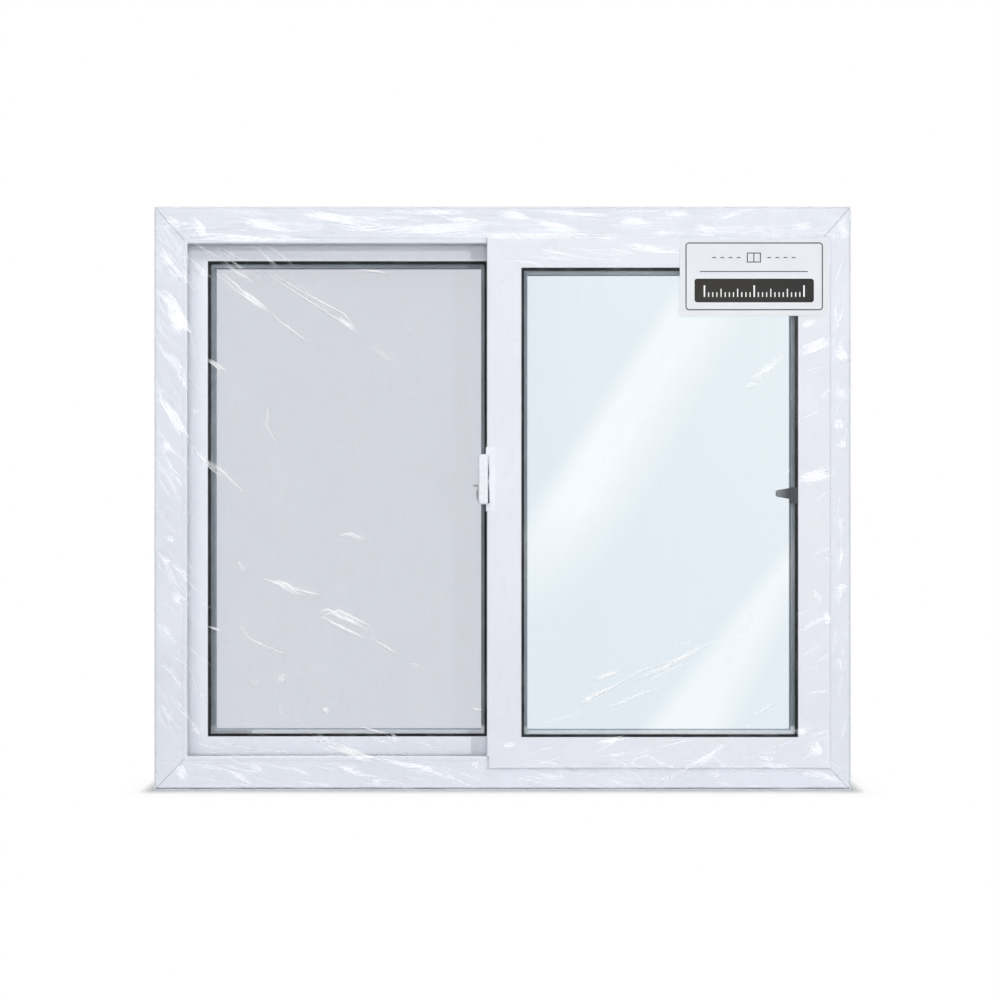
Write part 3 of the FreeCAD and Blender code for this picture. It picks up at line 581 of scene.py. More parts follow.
def card_figure(shape):
    """A small two-light window between two rows of dashes."""
    middle = (CARD_LO.x + CARD_HI.x) / 2.0
    base = CARD_LO.z + 91.5
    tall = 17.0
    wide = 24.0
    line = 1.6

    def strip(x0, z0, x1, z1):
        add_outline(shape, [(x0, z0), (x0, z1), (x1, z1), (x1, z0)], PRINT_BACK, PRINT_FRONT)

    strip(middle - wide / 2, base, middle + wide / 2, base + line)
    strip(middle - wide / 2, base + tall - line, middle + wide / 2, base + tall)
    for x in (-wide / 2, -line / 2, wide / 2 - line):
        strip(middle + x, base + line, middle + x + line, base + tall - line)
    for side in (-1.0, 1.0):
        for i in range(4):
            near = wide / 2 + 11.0 + i * 14.0
            edges = sorted((middle + side * near, middle + side * (near + 6.5)))
            strip(edges[0], base + tall / 2 - line / 2, edges[1], base + tall / 2 + line / 2)


make_piece("label_border", card_border, print_line)
make_piece("label_rule", card_rule, print_line)
make_piece("label_bar", card_bar, print_dark)
make_piece("label_ticks", card_ticks, print_white)
make_piece("label_figure", card_figure, print_dark)


# Mitre seams: the fine line left where two welded bars meet
def mitre_seams(shape):
    wide = 1.1

    def seam(x0, z0, x1, z1):
        along = Vector((x1 - x0, 0.0, z1 - z0)).normalized()
        side = Vector((-along.z, 0.0, along.x)) * wide / 2.0
        outline = [(x0 - side.x, z0 - side.z), (x0 + side.x, z0 + side.z),
                   (x1 + side.x, z1 + side.z), (x1 - side.x, z1 - side.z)]
        add_outline(shape, outline[::-1], FRAME_FRONT + 0.02, FRAME_FRONT - 0.04)

    lap, inner_lap = 3.5, 5.0
    left, right = JAMB_LO.x + lap, RIGHT_JAMB_HI.x - lap
    low, high = SILL_LO.z + lap, HEAD_HI.z - lap
    inner_left, inner_right = JAMB_HI.x - inner_lap, RIGHT_JAMB_LO.x + inner_lap
    inner_low, inner_high = SILL_HI.z - inner_lap, HEAD_LO.z + inner_lap
    seam(left, high, inner_left, inner_high)
    seam(right, high, inner_right, inner_high)
    seam(left, low, inner_left, inner_low)
    seam(right, low, inner_right, inner_low)


make_piece("frame_mitre_seams", mitre_seams, seam_grey)


# Stretch film over the front: a membrane pulled tight over what stands proud
FILM_STEP = 5.0
FILM_EDGE = 1.5
FILM_GAP = 0.22
FILM_ROOM = 20.0
FILM_ROUNDS = 700
FILM_WIDTH = RIGHT_JAMB_HI.x - JAMB_LO.x - 2.0 * FILM_EDGE
FILM_HEIGHT = HEAD_HI.z - SILL_LO.z - 2.0 * FILM_EDGE


def film_heights():
    """Grid of the film's y over x and z, relaxed until it lies taut on its supports."""
    xs = np.linspace(JAMB_LO.x + FILM_EDGE, RIGHT_JAMB_HI.x - FILM_EDGE, int(FILM_WIDTH / FILM_STEP) + 1)
    zs = np.linspace(SILL_LO.z + FILM_EDGE, HEAD_HI.z - FILM_EDGE, int(FILM_HEIGHT / FILM_STEP) + 1)
    grid_x, grid_z = np.meshgrid(xs, zs, indexing="ij")
    support = np.full(grid_x.shape, REAR_FRONT + FILM_ROOM)

    def pad(x0, z0, x1, z1, y):
        reach = FILM_STEP * 1.05
        inside = (grid_x > x0 - reach) & (grid_x < x1 + reach) & (grid_z > z0 - reach) & (grid_z < z1 + reach)
        support[inside] = np.minimum(support[inside], y)

    pad(JAMB_LO.x, SILL_LO.z, JAMB_HI.x, HEAD_HI.z, FRAME_FRONT)
    pad(RIGHT_JAMB_LO.x, SILL_LO.z, RIGHT_JAMB_HI.x, HEAD_HI.z, FRAME_FRONT)
    pad(JAMB_LO.x, SILL_LO.z, RIGHT_JAMB_HI.x, SILL_HI.z, FRAME_FRONT)
    pad(JAMB_LO.x, HEAD_LO.z, RIGHT_JAMB_HI.x, HEAD_HI.z, FRAME_FRONT)
    pad(FRONT_STILE_LO.x, FRONT_BOTTOM_LO.z, FRONT_JAMB_HI.x, FRONT_TOP_HI.z, SASH_FRONT)
    pad(PLATE_LO.x, PLATE_LO.z, PLATE_HI.x, PLATE_HI.z, PLATE_LO.y)
    pad(LOCK_LO.x, LOCK_LO.z, LOCK_HI.x, LOCK_HI.z, LOCK_LO.y)
    height = np.minimum(support, FRAME_FRONT)
    for _ in range(FILM_ROUNDS):
        average = height.copy()
        average[1:-1, 1:-1] = (height[:-2, 1:-1] + height[2:, 1:-1]
                               + height[1:-1, :-2] + height[1:-1, 2:]) / 4.0
        height = np.minimum(average, support)
    return xs, zs, height - FILM_GAP


film_xs, film_zs, film_y = film_heights()


def film_at(x, z):
    """The film's y at a place on it."""
    i = min(max((x - film_xs[0]) / (film_xs[1] - film_xs[0]), 0.0), len(film_xs) - 1.001)
    k = min(max((z - film_zs[0]) / (film_zs[1] - film_zs[0]), 0.0), len(film_zs) - 1.001)
    a, b = int(i), int(k)
    u, v = i - a, k - b
    return ((1 - u) * (1 - v) * film_y[a, b] + u * (1 - v) * film_y[a + 1, b]
            + (1 - u) * v * film_y[a, b + 1] + u * v * film_y[a + 1, b + 1])


def film_sheet(shape):
    grid = [[shape.verts.new((x, film_y[i, k], z)) for k, z in enumerate(film_zs)]
            for i, x in enumerate(film_xs)]
    for i in range(len(film_xs) - 1):
        for k in range(len(film_zs) - 1):
            face = shape.faces.new((grid[i][k], grid[i + 1][k], grid[i + 1][k + 1], grid[i][k + 1]))
            face.smooth = True


film = make_piece("film_sheet", film_sheet, stretch_film)
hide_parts("stretch_film")
film.visible_shadow = False


# Folds in the film, drawn white as painted highlights on its wrinkles. Each is a line of (x, z) places, its
# width and how dense its layers are.
HEAD_FOLDS = [
    ([(-348, 997), (-288, 987), (-228, 974)], 8.0, 0.95),
    ([(-348, 993), (-271, 981)], 4.0, 0.9),
    ([(-452, 981), (-414, 976), (-362, 967)], 9.0, 0.9),
    ([(-551, 952), (-495, 954), (-434, 950), (-340, 950)], 7.0, 0.8),
    ([(-391, 957), (-362, 950), (-328, 947)], 3.0, 0.8),
    ([(-538, 980), (-520, 968), (-508, 956)], 10.0, 0.75),
    ([(-581, 988), (-551, 969)], 8.0, 0.5),
    ([(-206, 962), (-142, 967), (-73, 969), (-4, 971)], 9.0, 0.7),
    ([(-164, 997), (-108, 995), (-53, 995)], 4.5, 0.75),
    ([(-202, 954), (-4, 955), (99, 954), (176, 952)], 5.0, 0.7),
    ([(59, 978), (99, 967), (138, 959)], 7.0, 0.7),
    ([(197, 978), (229, 980), (265, 974)], 6.0, 0.85),
    ([(236, 961), (274, 959), (310, 957)], 4.5, 0.6),
    ([(279, 992), (322, 993)], 5.0, 0.6),
    ([(365, 978), (394, 990), (420, 998)], 3.0, 0.6),
    ([(210, 942), (245, 931), (276, 926), (305, 926)], 5.0, 0.65),
    ([(494, 967), (513, 973), (534, 974)], 7.0, 0.6),
    ([(-4, 995), (47, 986)], 6.0, 0.5),
    ([(167, 947), (205, 955)], 5.0, 0.6),
    ([(580, 990), (590, 947)], 7.0, 0.4),
    ([(-300, 972), (-236, 966), (-196, 968)], 6.0, 0.5),
    ([(-100, 984), (-40, 980)], 5.0, 0.45),
    ([(330, 972), (372, 962)], 6.0, 0.4),
]
LEFT_JAMB_FOLDS = [
    ([(-594, 868), (-572, 844), (-555, 809), (-541, 792)], 11.0, 0.9),
    ([(-567, 826), (-545, 784)], 16.0, 0.75),
    ([(-591, 765), (-567, 740), (-543, 709)], 8.0, 0.45),
    ([(-593, 679), (-572, 654), (-553, 620), (-538, 594)], 9.0, 0.85),
    ([(-538, 594), (-508, 563), (-483, 541)], 5.0, 0.75),
    ([(-529, 906), (-510, 880)], 5.0, 0.55),
    ([(-510, 745), (-496, 734), (-476, 718)], 5.0, 0.95),
    ([(-579, 441), (-567, 426)], 6.0, 0.5),
    ([(-589, 397), (-569, 393)], 5.0, 0.6),
    ([(-569, 388), (-543, 367)], 4.0, 0.55),
    ([(-572, 338), (-546, 322)], 9.0, 0.8),
    ([(-594, 223), (-569, 199), (-545, 166)], 3.0, 0.5),
    ([(-538, 114), (-520, 95)], 4.5, 0.6),
    ([(-581, 603), (-575, 582)], 8.0, 0.5),
    ([(-562, 44), (-544, 20)], 10.0, 0.7),
    ([(-507, 282), (-483, 274)], 2.6, 0.95),
    ([(-590, 930), (-570, 905)], 8.0, 0.4),
    ([(-560, 720), (-540, 690)], 6.0, 0.4),
    ([(-535, 660), (-522, 645)], 5.0, 0.4),
    ([(-589, 285), (-566, 268)], 6.0, 0.35),
    ([(-590, 150), (-568, 120)], 5.0, 0.35),
]
LEFT_LIGHT_FOLDS = [
    ([(-421, 899), (-348, 852), (-287, 813), (-247, 785)], 2.0, 0.75),
    ([(-412, 899), (-340, 856), (-274, 821), (-249, 790)], 2.0, 0.75),
    ([(-287, 816), (-266, 802), (-249, 787)], 5.5, 1.0),
    ([(-488, 895), (-465, 876), (-443, 856), (-421, 835)], 3.0, 0.6),
    ([(-452, 861), (-431, 845), (-403, 823)], 6.5, 1.0),
    ([(-403, 823), (-366, 795), (-333, 770)], 3.0, 0.65),
    ([(-496, 892), (-472, 873), (-452, 859)], 2.0, 0.5),
    ([(-230, 771), (-202, 746), (-180, 732)], 5.0, 0.3),
    ([(-403, 668), (-407, 629), (-386, 591)], 4.0, 0.35),
    ([(-508, 570), (-483, 550), (-438, 505)], 4.0, 0.6),
    ([(-249, 897), (-219, 894), (-195, 890)], 3.0, 0.75),
    ([(-409, 367), (-378, 355), (-343, 333)], 7.5, 1.0),
    ([(-359, 348), (-312, 335)], 3.0, 0.95),
    ([(-312, 303), (-293, 310), (-259, 294), (-219, 274)], 9.0, 1.0),
    ([(-317, 302), (-274, 279), (-237, 262)], 4.0, 1.0),
    ([(-230, 264), (-206, 250), (-180, 235)], 3.2, 0.7),
    ([(-161, 221), (-137, 211)], 4.0, 0.35),
    ([(-285, 438), (-268, 443), (-233, 427)], 4.2, 0.75),
    ([(-462, 295), (-436, 261), (-402, 245), (-367, 233)], 3.0, 0.55),
    ([(-460, 398), (-440, 374)], 3.0, 0.45),
    ([(-388, 199), (-374, 190)], 9.0, 0.5),
    ([(-313, 142), (-298, 135)], 6.0, 0.85),
    ([(-244, 109), (-199, 97)], 2.6, 0.8),
    ([(-53, 142), (-34, 139)], 3.0, 0.7),
]
SILL_FOLDS = [
    # Painted highlight: a white line along the sill lip's top edge, where it is lit from above
    ([(-541, 58.8), (-420, 58.6), (-300, 58.9), (-180, 58.6), (-42, 58.8)], 3.4, 0.42),
    ([(-305, 82), (-271, 70), (-233, 54), (-211, 49)], 8.0, 0.85),
    ([(-233, 58), (-168, 44), (-125, 39)], 4.5, 0.55),
    ([(-288, 44), (-259, 32), (-228, 21)], 4.5, 0.9),
    ([(-197, 97), (-176, 82)], 7.0, 0.6),
    ([(-477, 39), (-452, 25), (-440, 11)], 5.0, 0.6),
    ([(-228, 15), (-206, 15)], 4.5, 0.8),
    ([(-154, 37), (-133, 37), (-113, 32)], 6.0, 0.7),
    ([(-434, 44), (-414, 32)], 5.0, 0.55),
    ([(-56, 47), (-39, 40)], 7.0, 0.5),
    ([(262, 9), (322, 42), (365, 68), (393, 85)], 2.6, 0.85),
    ([(322, 37), (374, 66)], 2.0, 0.5),
    ([(155, 80), (188, 87), (214, 94)], 4.5, 0.85),
    ([(167, 58), (219, 66)], 3.5, 0.5),
    ([(534, 84), (541, 58)], 11.0, 0.8),
    ([(360, 34), (374, 21)], 8.0, 0.7),
    ([(503, 34), (546, 28), (591, 16)], 7.0, 0.6),
    ([(345, 46), (379, 83)], 3.0, 0.45),
    ([(-4, 78), (26, 80)], 6.0, 0.5),
    ([(-330, 92), (-300, 84)], 6.0, 0.4),
    ([(60, 26), (110, 22)], 6.0, 0.4),
    ([(440, 60), (470, 52)], 5.0, 0.35),
]
RIGHT_JAMB_FOLDS = [
    ([(510, 754), (537, 765), (568, 777)], 11.0, 0.9),
    ([(573, 765), (592, 737)], 11.0, 0.65),
    ([(506, 532), (532, 539), (566, 550)], 10.0, 0.9),
    ([(506, 273), (537, 290), (561, 300)], 3.0, 0.6),
    ([(556, 307), (561, 286)], 7.0, 0.8),
    ([(575, 345), (584, 352), (594, 350)], 5.0, 0.85),
    ([(584, 350), (577, 322)], 5.0, 0.6),
    ([(506, 104), (523, 99)], 8.0, 0.8),
    ([(529, 345), (549, 328)], 5.0, 0.4),
    ([(576, 690), (588, 676)], 8.0, 0.5),
    ([(572, 640), (586, 622)], 8.0, 0.5),
    ([(574, 600), (590, 590)], 7.0, 0.45),
    ([(512, 800), (540, 806)], 6.0, 0.45),
    ([(575, 470), (588, 452)], 6.0, 0.4),
    ([(573, 230), (586, 208)], 6.0, 0.35),
]
RIGHT_LIGHT_FOLDS = [
    ([(60, 112), (100, 126), (147, 140)], 3.0, 0.5),
    ([(138, 152), (146, 156), (156, 158)], 7.0, 1.0),
    ([(132, 150), (161, 166), (200, 184)], 4.0, 0.85),
    ([(150, 160), (190, 180), (237, 206), (262, 216)], 3.0, 0.7),
    ([(150, 188), (175, 198), (218, 212)], 4.5, 0.8),
    ([(175, 144), (200, 150), (240, 168), (285, 182)], 4.0, 0.7),
    ([(222, 186), (237, 195), (276, 211), (319, 235), (351, 252), (372, 258)], 5.0, 0.85),
    ([(232, 180), (290, 210), (318, 222)], 2.6, 0.6),
    ([(246, 208), (295, 225), (327, 236)], 2.4, 0.65),
    ([(299, 250), (327, 259)], 2.6, 0.4),
    ([(425, 292), (432, 298), (446, 300)], 5.0, 0.5),
    ([(395, 262), (420, 276), (436, 282)], 5.0, 0.4),
    ([(443, 137), (467, 152)], 4.0, 0.7),
    ([(413, 114), (429, 109)], 4.5, 0.6),
    ([(400, 120), (440, 136), (470, 148)], 3.0, 0.4),
    ([(420, 699), (446, 716), (470, 738), (492, 758)], 9.0, 0.75),
    ([(428, 706), (452, 722), (466, 732)], 4.0, 0.9),
    ([(414, 698), (428, 697), (446, 699)], 4.5, 0.8),
    ([(480, 545), (496, 552)], 4.0, 0.5),
]
LONG_FOLDS = (HEAD_FOLDS + LEFT_JAMB_FOLDS + LEFT_LIGHT_FOLDS + SILL_FOLDS + RIGHT_JAMB_FOLDS
              + RIGHT_LIGHT_FOLDS)
ACROSS = (-1.0, -0.66, -0.33, 0.0, 0.33, 0.66, 1.0)
FOLD_LAYERS = ("fold", "run", "side", "tone")
FOLD_STEPS = 8
FOLD_HALF = 0.6
FOLD_LIFT, FOLD_RELIEF = 0.12, 0.05


def within(x, z, margin):
    """The nearest place on the film, a margin inside its edge."""
    return (min(max(x, film_xs[0] + margin), film_xs[-1] - margin),
            min(max(z, film_zs[0] + margin), film_zs[-1] - margin))


def fold_strip(shape, layers, places, width, density, tone, start):
    """A raised fold: pinched at its ends, thickest along its middle and whitest there, a painted highlight.
    """
    fold, run, side_layer, tone_layer = layers
    path = []
    for (x0, z0), (x1, z1) in zip(places, places[1:]):
        for i in range(FOLD_STEPS):
            path.append((x0 + (x1 - x0) * i / FOLD_STEPS, z0 + (z1 - z0) * i / FOLD_STEPS))
    path.append(places[-1])
    rows = []
    gone = 0.0
    for i, (x, z) in enumerate(path):
        ahead = path[min(i + 1, len(path) - 1)]
        behind = path[max(i - 1, 0)]
        along = Vector((ahead[0] - behind[0], 0.0, ahead[1] - behind[1])).normalized()
        side = Vector((-along.z, 0.0, along.x))
        if i:
            gone += math.hypot(x - path[i - 1][0], z - path[i - 1][1])
        swell = math.sin(math.pi * (i + 0.4) / (len(path) - 0.2)) ** 0.7
        row = []
        for a in ACROSS:
            px, pz = within(x + side.x * a * width * FOLD_HALF * swell,
                            z + side.z * a * width * FOLD_HALF * swell, 0.3)
            py = film_at(px, pz) - FOLD_LIFT - FOLD_RELIEF * (1.0 - abs(a)) * swell
            vertex = shape.verts.new((px, py, pz))
            vertex[fold] = density * swell * math.cos(a * math.pi / 2.0) ** 1.3
            vertex[run] = start + gone
            vertex[side_layer] = start + a * width * FOLD_HALF
            vertex[tone_layer] = tone
            row.append(vertex)
        rows.append(row)
    for first, second in zip(rows, rows[1:]):
        for i in range(len(ACROSS) - 1):
            face = shape.faces.new((first[i], second[i], second[i + 1], first[i + 1]))
            face.smooth = True


def strands(places, width, draw):
    """The fine folds that make up a broad one, side by side, each a little shorter."""
    (x0, z0), (x1, z1) = places[0], places[-1]
    reach = max(math.hypot(x1 - x0, z1 - z0), 0.001)
    side_x, side_z = -(z1 - z0) / reach, (x1 - x0) / reach
    mid_x, mid_z = (x0 + x1) / 2.0, (z0 + z1) / 2.0
    if width <= 4.0:
        return [(places, width * 1.6, 1.1)]
    found = []
    for place in (-0.5, 0.0, 0.5):
        keep, slide = draw.uniform(0.7, 1.0), draw.uniform(-0.12, 0.12)
        moved = [(mid_x + (x - mid_x) * keep + slide * (x1 - x0) + side_x * place * width,
                  mid_z + (z - mid_z) * keep + slide * (z1 - z0) + side_z * place * width) for x, z in places]
        found.append((moved, width * draw.uniform(0.55, 0.9), draw.uniform(0.8, 1.2)))
    return found


def film_folds_painted_light(shape):
    layers = [shape.verts.layers.float.new(name) for name in FOLD_LAYERS]
    draw = random.Random(11)
    for places, width, density in LONG_FOLDS:
        for line, broad, strength in strands(places, width, draw):
            fold_strip(shape, layers, line, broad, density * strength, 0.0, draw.uniform(0.0, 900.0))
    # Painted shade: a grey line just below each dense fold on the glass
    for places, width, density in LEFT_LIGHT_FOLDS + RIGHT_LIGHT_FOLDS:
        if density > 0.6:
            lower = [(x - 0.6, z - width * 0.7 - 0.6) for x, z in places]
            fold_strip(shape, layers, lower, 2.4, 0.16, 0.5, draw.uniform(0.0, 900.0))

    def scatter(count, x0, z0, x1, z1, angle, spread, length, width, density, tone=0.0):
        for _ in range(count):
            x, z = draw.uniform(x0, x1), draw.uniform(z0, z1)
            turn = math.radians(angle + draw.gauss(0.0, spread))
            reach = draw.uniform(*length) / 2.0
            dx, dz = math.cos(turn) * reach, math.sin(turn) * reach
            bend = draw.uniform(-0.12, 0.12) * reach
            places = [(x - dx, z - dz), (x + bend * math.sin(turn), z - bend * math.cos(turn)),
                      (x + dx, z + dz)]
            places = [within(px, pz, 2.0) for px, pz in places]
            fold_strip(shape, layers, places, draw.uniform(*width), draw.uniform(*density), tone,
                       draw.uniform(0.0, 900.0))

    # Painted highlights: fine white strokes strewn over the frame and the left light
    scatter(70, -590, 948, 590, 998, -4, 5, (35, 130), (3, 9), (0.10, 0.34))
    scatter(44, -594, 40, -550, 960, -54, 8, (30, 90), (3, 8), (0.10, 0.34))
    scatter(30, -575, 60, -520, 960, -50, 9, (30, 80), (2, 5), (0.10, 0.36))
    scatter(16, -560, 850, -330, 945, -40, 6, (50, 120), (2, 5), (0.16, 0.42))
    scatter(40, 570, 40, 594, 960, 82, 12, (14, 50), (3, 7), (0.12, 0.36))
    scatter(64, -590, 6, 590, 54, -14, 9, (30, 100), (3, 7), (0.10, 0.34))
    scatter(16, 512, 60, 560, 800, 28, 12, (15, 50), (3, 7), (0.10, 0.3))
    scatter(14, 40, 45, 540, 88, 18, 10, (25, 80), (3, 7), (0.1, 0.28))
    scatter(20, -530, 62, -60, 90, -18, 10, (20, 60), (3, 6), (0.12, 0.36))
    scatter(12, 0, 905, 300, 944, -9, 6, (40, 110), (3, 7), (0.12, 0.3))
    scatter(16, -505, 95, -330, 320, -38, 14, (10, 40), (2, 5), (0.12, 0.35))
    scatter(14, -500, 400, -60, 900, -35, 12, (12, 40), (2, 4), (0.06, 0.2))
    # Painted shade: thin grey lines among the folds on the head, left jamb and sill
    scatter(26, -590, 948, 100, 998, -5, 5, (30, 90), (2, 3.5), (0.06, 0.14), 0.5)
    scatter(16, -594, 40, -550, 960, -54, 8, (20, 60), (2, 3.5), (0.05, 0.12), 0.5)
    scatter(24, -590, 6, 590, 54, -14, 9, (20, 70), (2, 3.5), (0.05, 0.12), 0.5)


folds = make_piece("film_folds_painted_light", film_folds_painted_light, film_crease_painted_light)
folds.visible_shadow = False


def film_hem_and_edge_shade(shape):
    """The film's edge, gathered where it turns round the frame, drawn as grey lines that also paint the shade
    of the frame's rounded outer edges and, darkest along the bottom, the contact shadow.
    """
    layers = [shape.verts.layers.float.new(name) for name in FOLD_LAYERS]
    x0, x1 = film_xs[0] + 1.2, film_xs[-1] - 1.2
    z0, z1 = film_zs[0] + 1.4, film_zs[-1] - 1.0

    def hem(a, b, width, density, shade):
        fold, run, side, tone = layers
        length = math.hypot(b[0] - a[0], b[1] - a[1])
        count = int(length / 12.0)
        across = Vector((-(b[1] - a[1]), 0.0, b[0] - a[0])) / length
        rows = []
        for i in range(count + 1):
            x = a[0] + (b[0] - a[0]) * i / count
            z = a[1] + (b[1] - a[1]) * i / count
            row = []
            for t in (-1.0, 0.0, 1.0):
                px, pz = within(x + across.x * t * width / 2.0, z + across.z * t * width / 2.0, 0.1)
                vertex = shape.verts.new((px, film_at(px, pz) - 0.08 - 0.12 * (1.0 - abs(t)), pz))
                vertex[fold] = density * (1.0 if t == 0.0 else 0.45)
                vertex[run] = i * 12.0 * 0.4
                vertex[side] = 3.0 * t
                vertex[tone] = shade
                row.append(vertex)
            rows.append(row)
        for first, second in zip(rows, rows[1:]):
            for i in range(2):
                shape.faces.new((first[i], second[i], second[i + 1], first[i + 1]))

    # Painted shade: grey lines along the frame's rounded outer edges, and a dark one along the bottom where
    # the contact shadow falls
    hem((x0, z0), (x0, z1), 2.4, 0.24, 0.5)
    hem((x1, z0), (x1, z1), 2.4, 0.28, 0.5)
    hem((x0, z1), (x1, z1), 2.2, 0.14, 0.5)
    hem((x0, z0), (x1, z0), 3.4, 1.0, 0.6)


hem_piece = make_piece("film_hem_and_edge_shade", film_hem_and_edge_shade, film_crease_painted_light)
hem_piece.visible_shadow = False


# The stage: a floor, and a card for the reflections in the glass
def stage_plane(name, corners, material):
    mesh = bpy.data.meshes.new(name)
    shape = bmesh.new()
    shape.faces.new([shape.verts.new(Vector(c)) for c in corners])
    shape.to_mesh(mesh)
    shape.free()
    mesh.materials.append(material)
    plane = bpy.data.objects.new(name, mesh)
    scene.collection.objects.link(plane)
    return plane


SOFT_LIGHT = 0.18
FOOT_X = (RIGHT_JAMB_HI.x - JAMB_LO.x) / 2.0 * MM
FOOT_Y = (SILL_HI.y - SILL_LO.y) / 2.0 * MM
FOOT_MIDDLE_Y = (SILL_HI.y + SILL_LO.y) / 2.0 * MM


def floor_material():
    """Pale floor, white to the eye; close to the object's foot its glow fades out, a painted shade zone in
    which the floor's diffuse part shows its real shading.
    """
    shader = Shader("floor_pale")
    diffuse = shader.add("ShaderNodeBsdfDiffuse")
    grain = shader.noise(3.0, 2.0)
    shader.link(shader.colours(grain, (0.3, (0.80, 0.80, 0.80, 1.0)), (0.7, (0.82, 0.82, 0.82, 1.0))),
                diffuse.inputs["Color"])
    glow = shader.add("ShaderNodeEmission")
    axes = shader.axes()
    beside = shader.math("SUBTRACT", shader.math("ABSOLUTE", axes["X"], 0.0), FOOT_X)
    out_x = shader.math("MULTIPLY", shader.math("MAXIMUM", beside, 0.0), 1.7)
    off_y = shader.math("SUBTRACT", axes["Y"], FOOT_MIDDLE_Y)
    out_y = shader.math("MAXIMUM", shader.math("SUBTRACT", shader.math("ABSOLUTE", off_y, 0.0), FOOT_Y), 0.0)
    away = shader.math("SQRT", shader.math("ADD", shader.math("MULTIPLY", out_x, out_x),
                                           shader.math("MULTIPLY", out_y, out_y)), 0.0)
    # Painted shade zone: the floor's glow fades out close to the foot, by distance alone
    near = shader.ramp(away, 0.95, 0.0, 0.006, 0.045)
    wide = shader.ramp(away, 0.10, 0.0, 0.0, 0.10)
    shade = shader.math("MAXIMUM", near, wide)
    path = shader.add("ShaderNodeLightPath")
    seen = shader.math("MAXIMUM", path.outputs["Is Camera Ray"],
                       shader.math("MAXIMUM", path.outputs["Is Glossy Ray"],
                                   path.outputs["Is Transmission Ray"]))
    mirrored = shader.math("MULTIPLY", path.outputs["Is Glossy Ray"], 1.0 - SOFT_LIGHT)
    shader.link(shader.math("SUBTRACT", 1.0, mirrored), glow.inputs["Strength"])
    bright = shader.math("MULTIPLY", seen, shader.math("SUBTRACT", 1.0, shade))
    return shader.finish(shader.mixed(bright,
                                      diffuse.outputs["BSDF"], glow.outputs["Emission"]))


stage_plane("floor", [(-8, -6, 0), (8, -6, 0), (8, 12, 0), (-8, 12, 0)], floor_material())


# A studio card before the window: soft slanting glows that only the glass picks up
CARD_Y = -0.7
MIRROR_SCALE = 1.224


def card_material():
    """Glow laid out in the window's own millimetres, as the panes mirror it."""
    shader = Shader("studio_card")
    axes = shader.axes()
    to_window = 1.0 / (MIRROR_SCALE * MM)
    x = shader.math("MULTIPLY", shader.math("SUBTRACT", axes["X"], CAMERA_X * MM), to_window)
    z = shader.math("MULTIPLY", shader.math("SUBTRACT", axes["Z"], CAMERA_Z * MM), to_window)

    def across(a, b):
        return shader.math("ADD", shader.math("MULTIPLY", x, a), shader.math("MULTIPLY", z, b))

    over = across(0.849, -0.528)
    rise = shader.ramp(over, 0.0, 1.0, 44.0, 84.0)
    fall = shader.ramp(over, 1.0, 0.0, 128.0, 236.0)
    lower = shader.ramp(z, 0.12, 1.0, -215.0, -10.0)
    first = shader.math("MULTIPLY", shader.math("MULTIPLY", rise, fall), lower)
    rise = shader.ramp(across(0.794, -0.608), 0.0, 1.0, 424.0, 456.0)
    fall = shader.ramp(across(0.894, -0.447), 1.0, 0.0, 494.0, 556.0)
    second = shader.math("MULTIPLY", shader.math("MULTIPLY", rise, fall), 0.85)
    broad = shader.math("MULTIPLY", shader.ramp(across(0.75, 0.45), 0.0, 1.0, -40.0, 460.0), 0.34)
    veil = shader.math("MULTIPLY", shader.ramp(x, 0.0, 1.0, 20.0, 120.0), broad)
    cloudy = shader.ramp(shader.noise(4.0, 3.0, 0.5), 0.88, 1.0)
    glow = shader.add("ShaderNodeEmission")
    glow.inputs["Color"].default_value = (1.0, 0.84, 0.64, 1.0)
    bands = shader.math("MAXIMUM", shader.math("MAXIMUM", first, second), veil)
    shader.link(shader.math("MULTIPLY", shader.math("MULTIPLY", bands, cloudy), 2.3), glow.inputs["Strength"])
    clear = shader.add("ShaderNodeBsdfTransparent")
    both = shader.add("ShaderNodeAddShader")
    shader.link(clear.outputs["BSDF"], both.inputs[0])
    shader.link(glow.outputs["Emission"], both.inputs[1])
    path = shader.add("ShaderNodeLightPath")
    return shader.finish(shader.mixed(path.outputs["Is Glossy Ray"],
                                      clear.outputs["BSDF"], both.outputs["Shader"]))


studio_card = stage_plane("studio_card", [(0.03, CARD_Y, 0.001), (0.66, CARD_Y, 0.001), (0.66, CARD_Y, 1.0),
                                          (0.03, CARD_Y, 1.0)], card_material())
studio_card.visible_camera = False
studio_card.visible_diffuse = False
studio_card.visible_shadow = False


# Lamps and world
LAMP_AIM = (0.0, 0.0, 0.5)


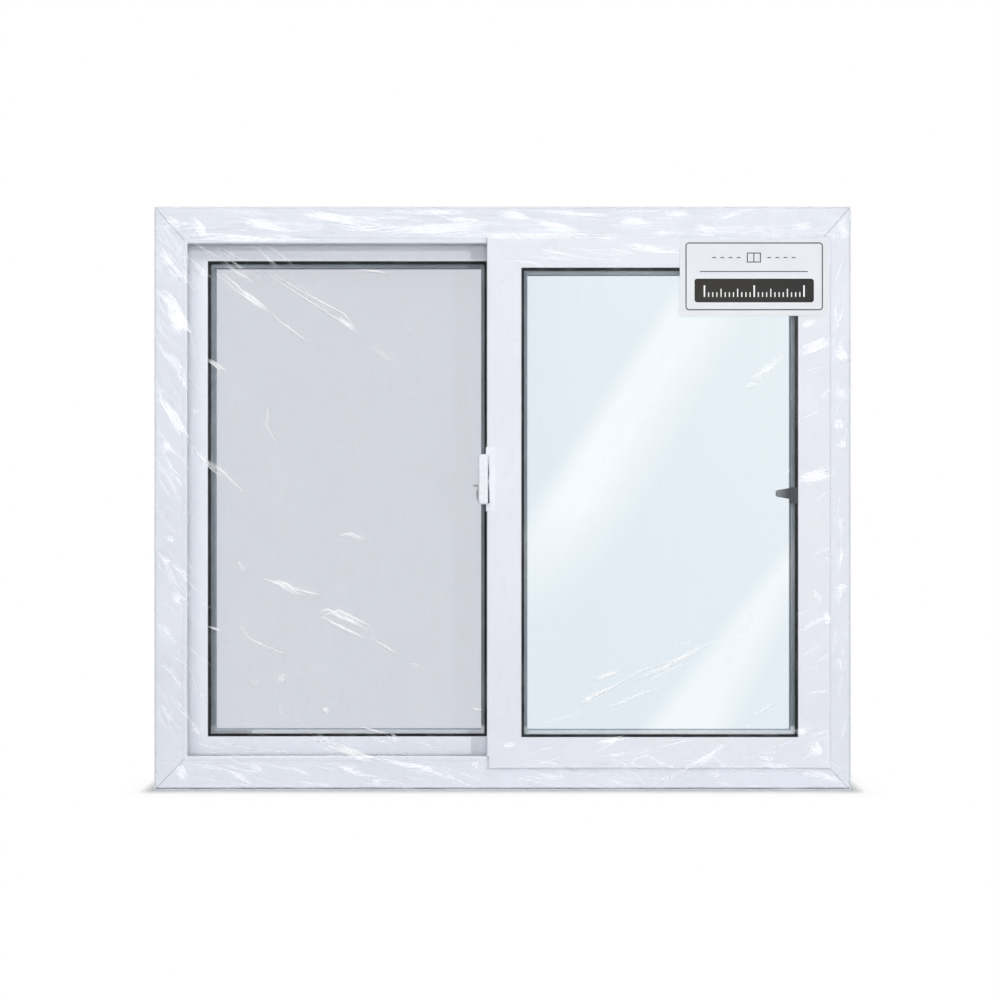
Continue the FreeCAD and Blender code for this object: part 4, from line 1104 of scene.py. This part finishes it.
def area_lamp(name, place, size, power):
    data = bpy.data.lights.new(name, "AREA")
    data.shape = "RECTANGLE"
    data.size, data.size_y = size
    data.energy = power
    lamp = bpy.data.objects.new(name, data)
    lamp.location = place
    lamp.rotation_euler = (Vector(LAMP_AIM) - Vector(place)).to_track_quat("-Z", "Y").to_euler()
    scene.collection.objects.link(lamp)
    return lamp


area_lamp("key", (7.8, -12.3, 3.3), (0.7, 0.7), 560.0)
area_lamp("fill", (-2.1, -8.0, 6.0), (5.0, 1.8), 206.0)
front = area_lamp("front", (0.2, -6.3, 0.7), (1.3, 1.1), 88.0)
front.visible_glossy = False
area_lamp("top", (-0.5, -2.8, 4.3), (2.6, 1.4), 30.0)
back = area_lamp("back", (0.0, 3.4, 2.4), (3.0, 2.0), 60.0)
back.visible_glossy = False

world = bpy.data.worlds.new("studio")
scene.world = world
world.use_nodes = True
tree = world.node_tree
tree.nodes.clear()
world_output = tree.nodes.new("ShaderNodeOutputWorld")
light_side = tree.nodes.new("ShaderNodeBackground")
light_side.inputs["Color"].default_value = (0.97, 0.985, 1.0, 1.0)
light_side.inputs["Strength"].default_value = SOFT_LIGHT
seen_side = tree.nodes.new("ShaderNodeBackground")
seen_side.inputs["Color"].default_value = (1.0, 1.0, 1.0, 1.0)
seen_side.inputs["Strength"].default_value = 1.0
light_path = tree.nodes.new("ShaderNodeLightPath")
seen = tree.nodes.new("ShaderNodeMath")
seen.operation = "MAXIMUM"
tree.links.new(light_path.outputs["Is Camera Ray"], seen.inputs[0])
tree.links.new(light_path.outputs["Is Transmission Ray"], seen.inputs[1])
world_mix = tree.nodes.new("ShaderNodeMixShader")
tree.links.new(seen.outputs["Value"], world_mix.inputs["Fac"])
tree.links.new(light_side.outputs["Background"], world_mix.inputs[1])
tree.links.new(seen_side.outputs["Background"], world_mix.inputs[2])
tree.links.new(world_mix.outputs["Shader"], world_output.inputs["Surface"])

scene.view_settings.view_transform = "Standard"

# Film, folds, two panes with two faces each and the mesh's own shade lie behind one another
scene.cycles.transparent_max_bounces = 32
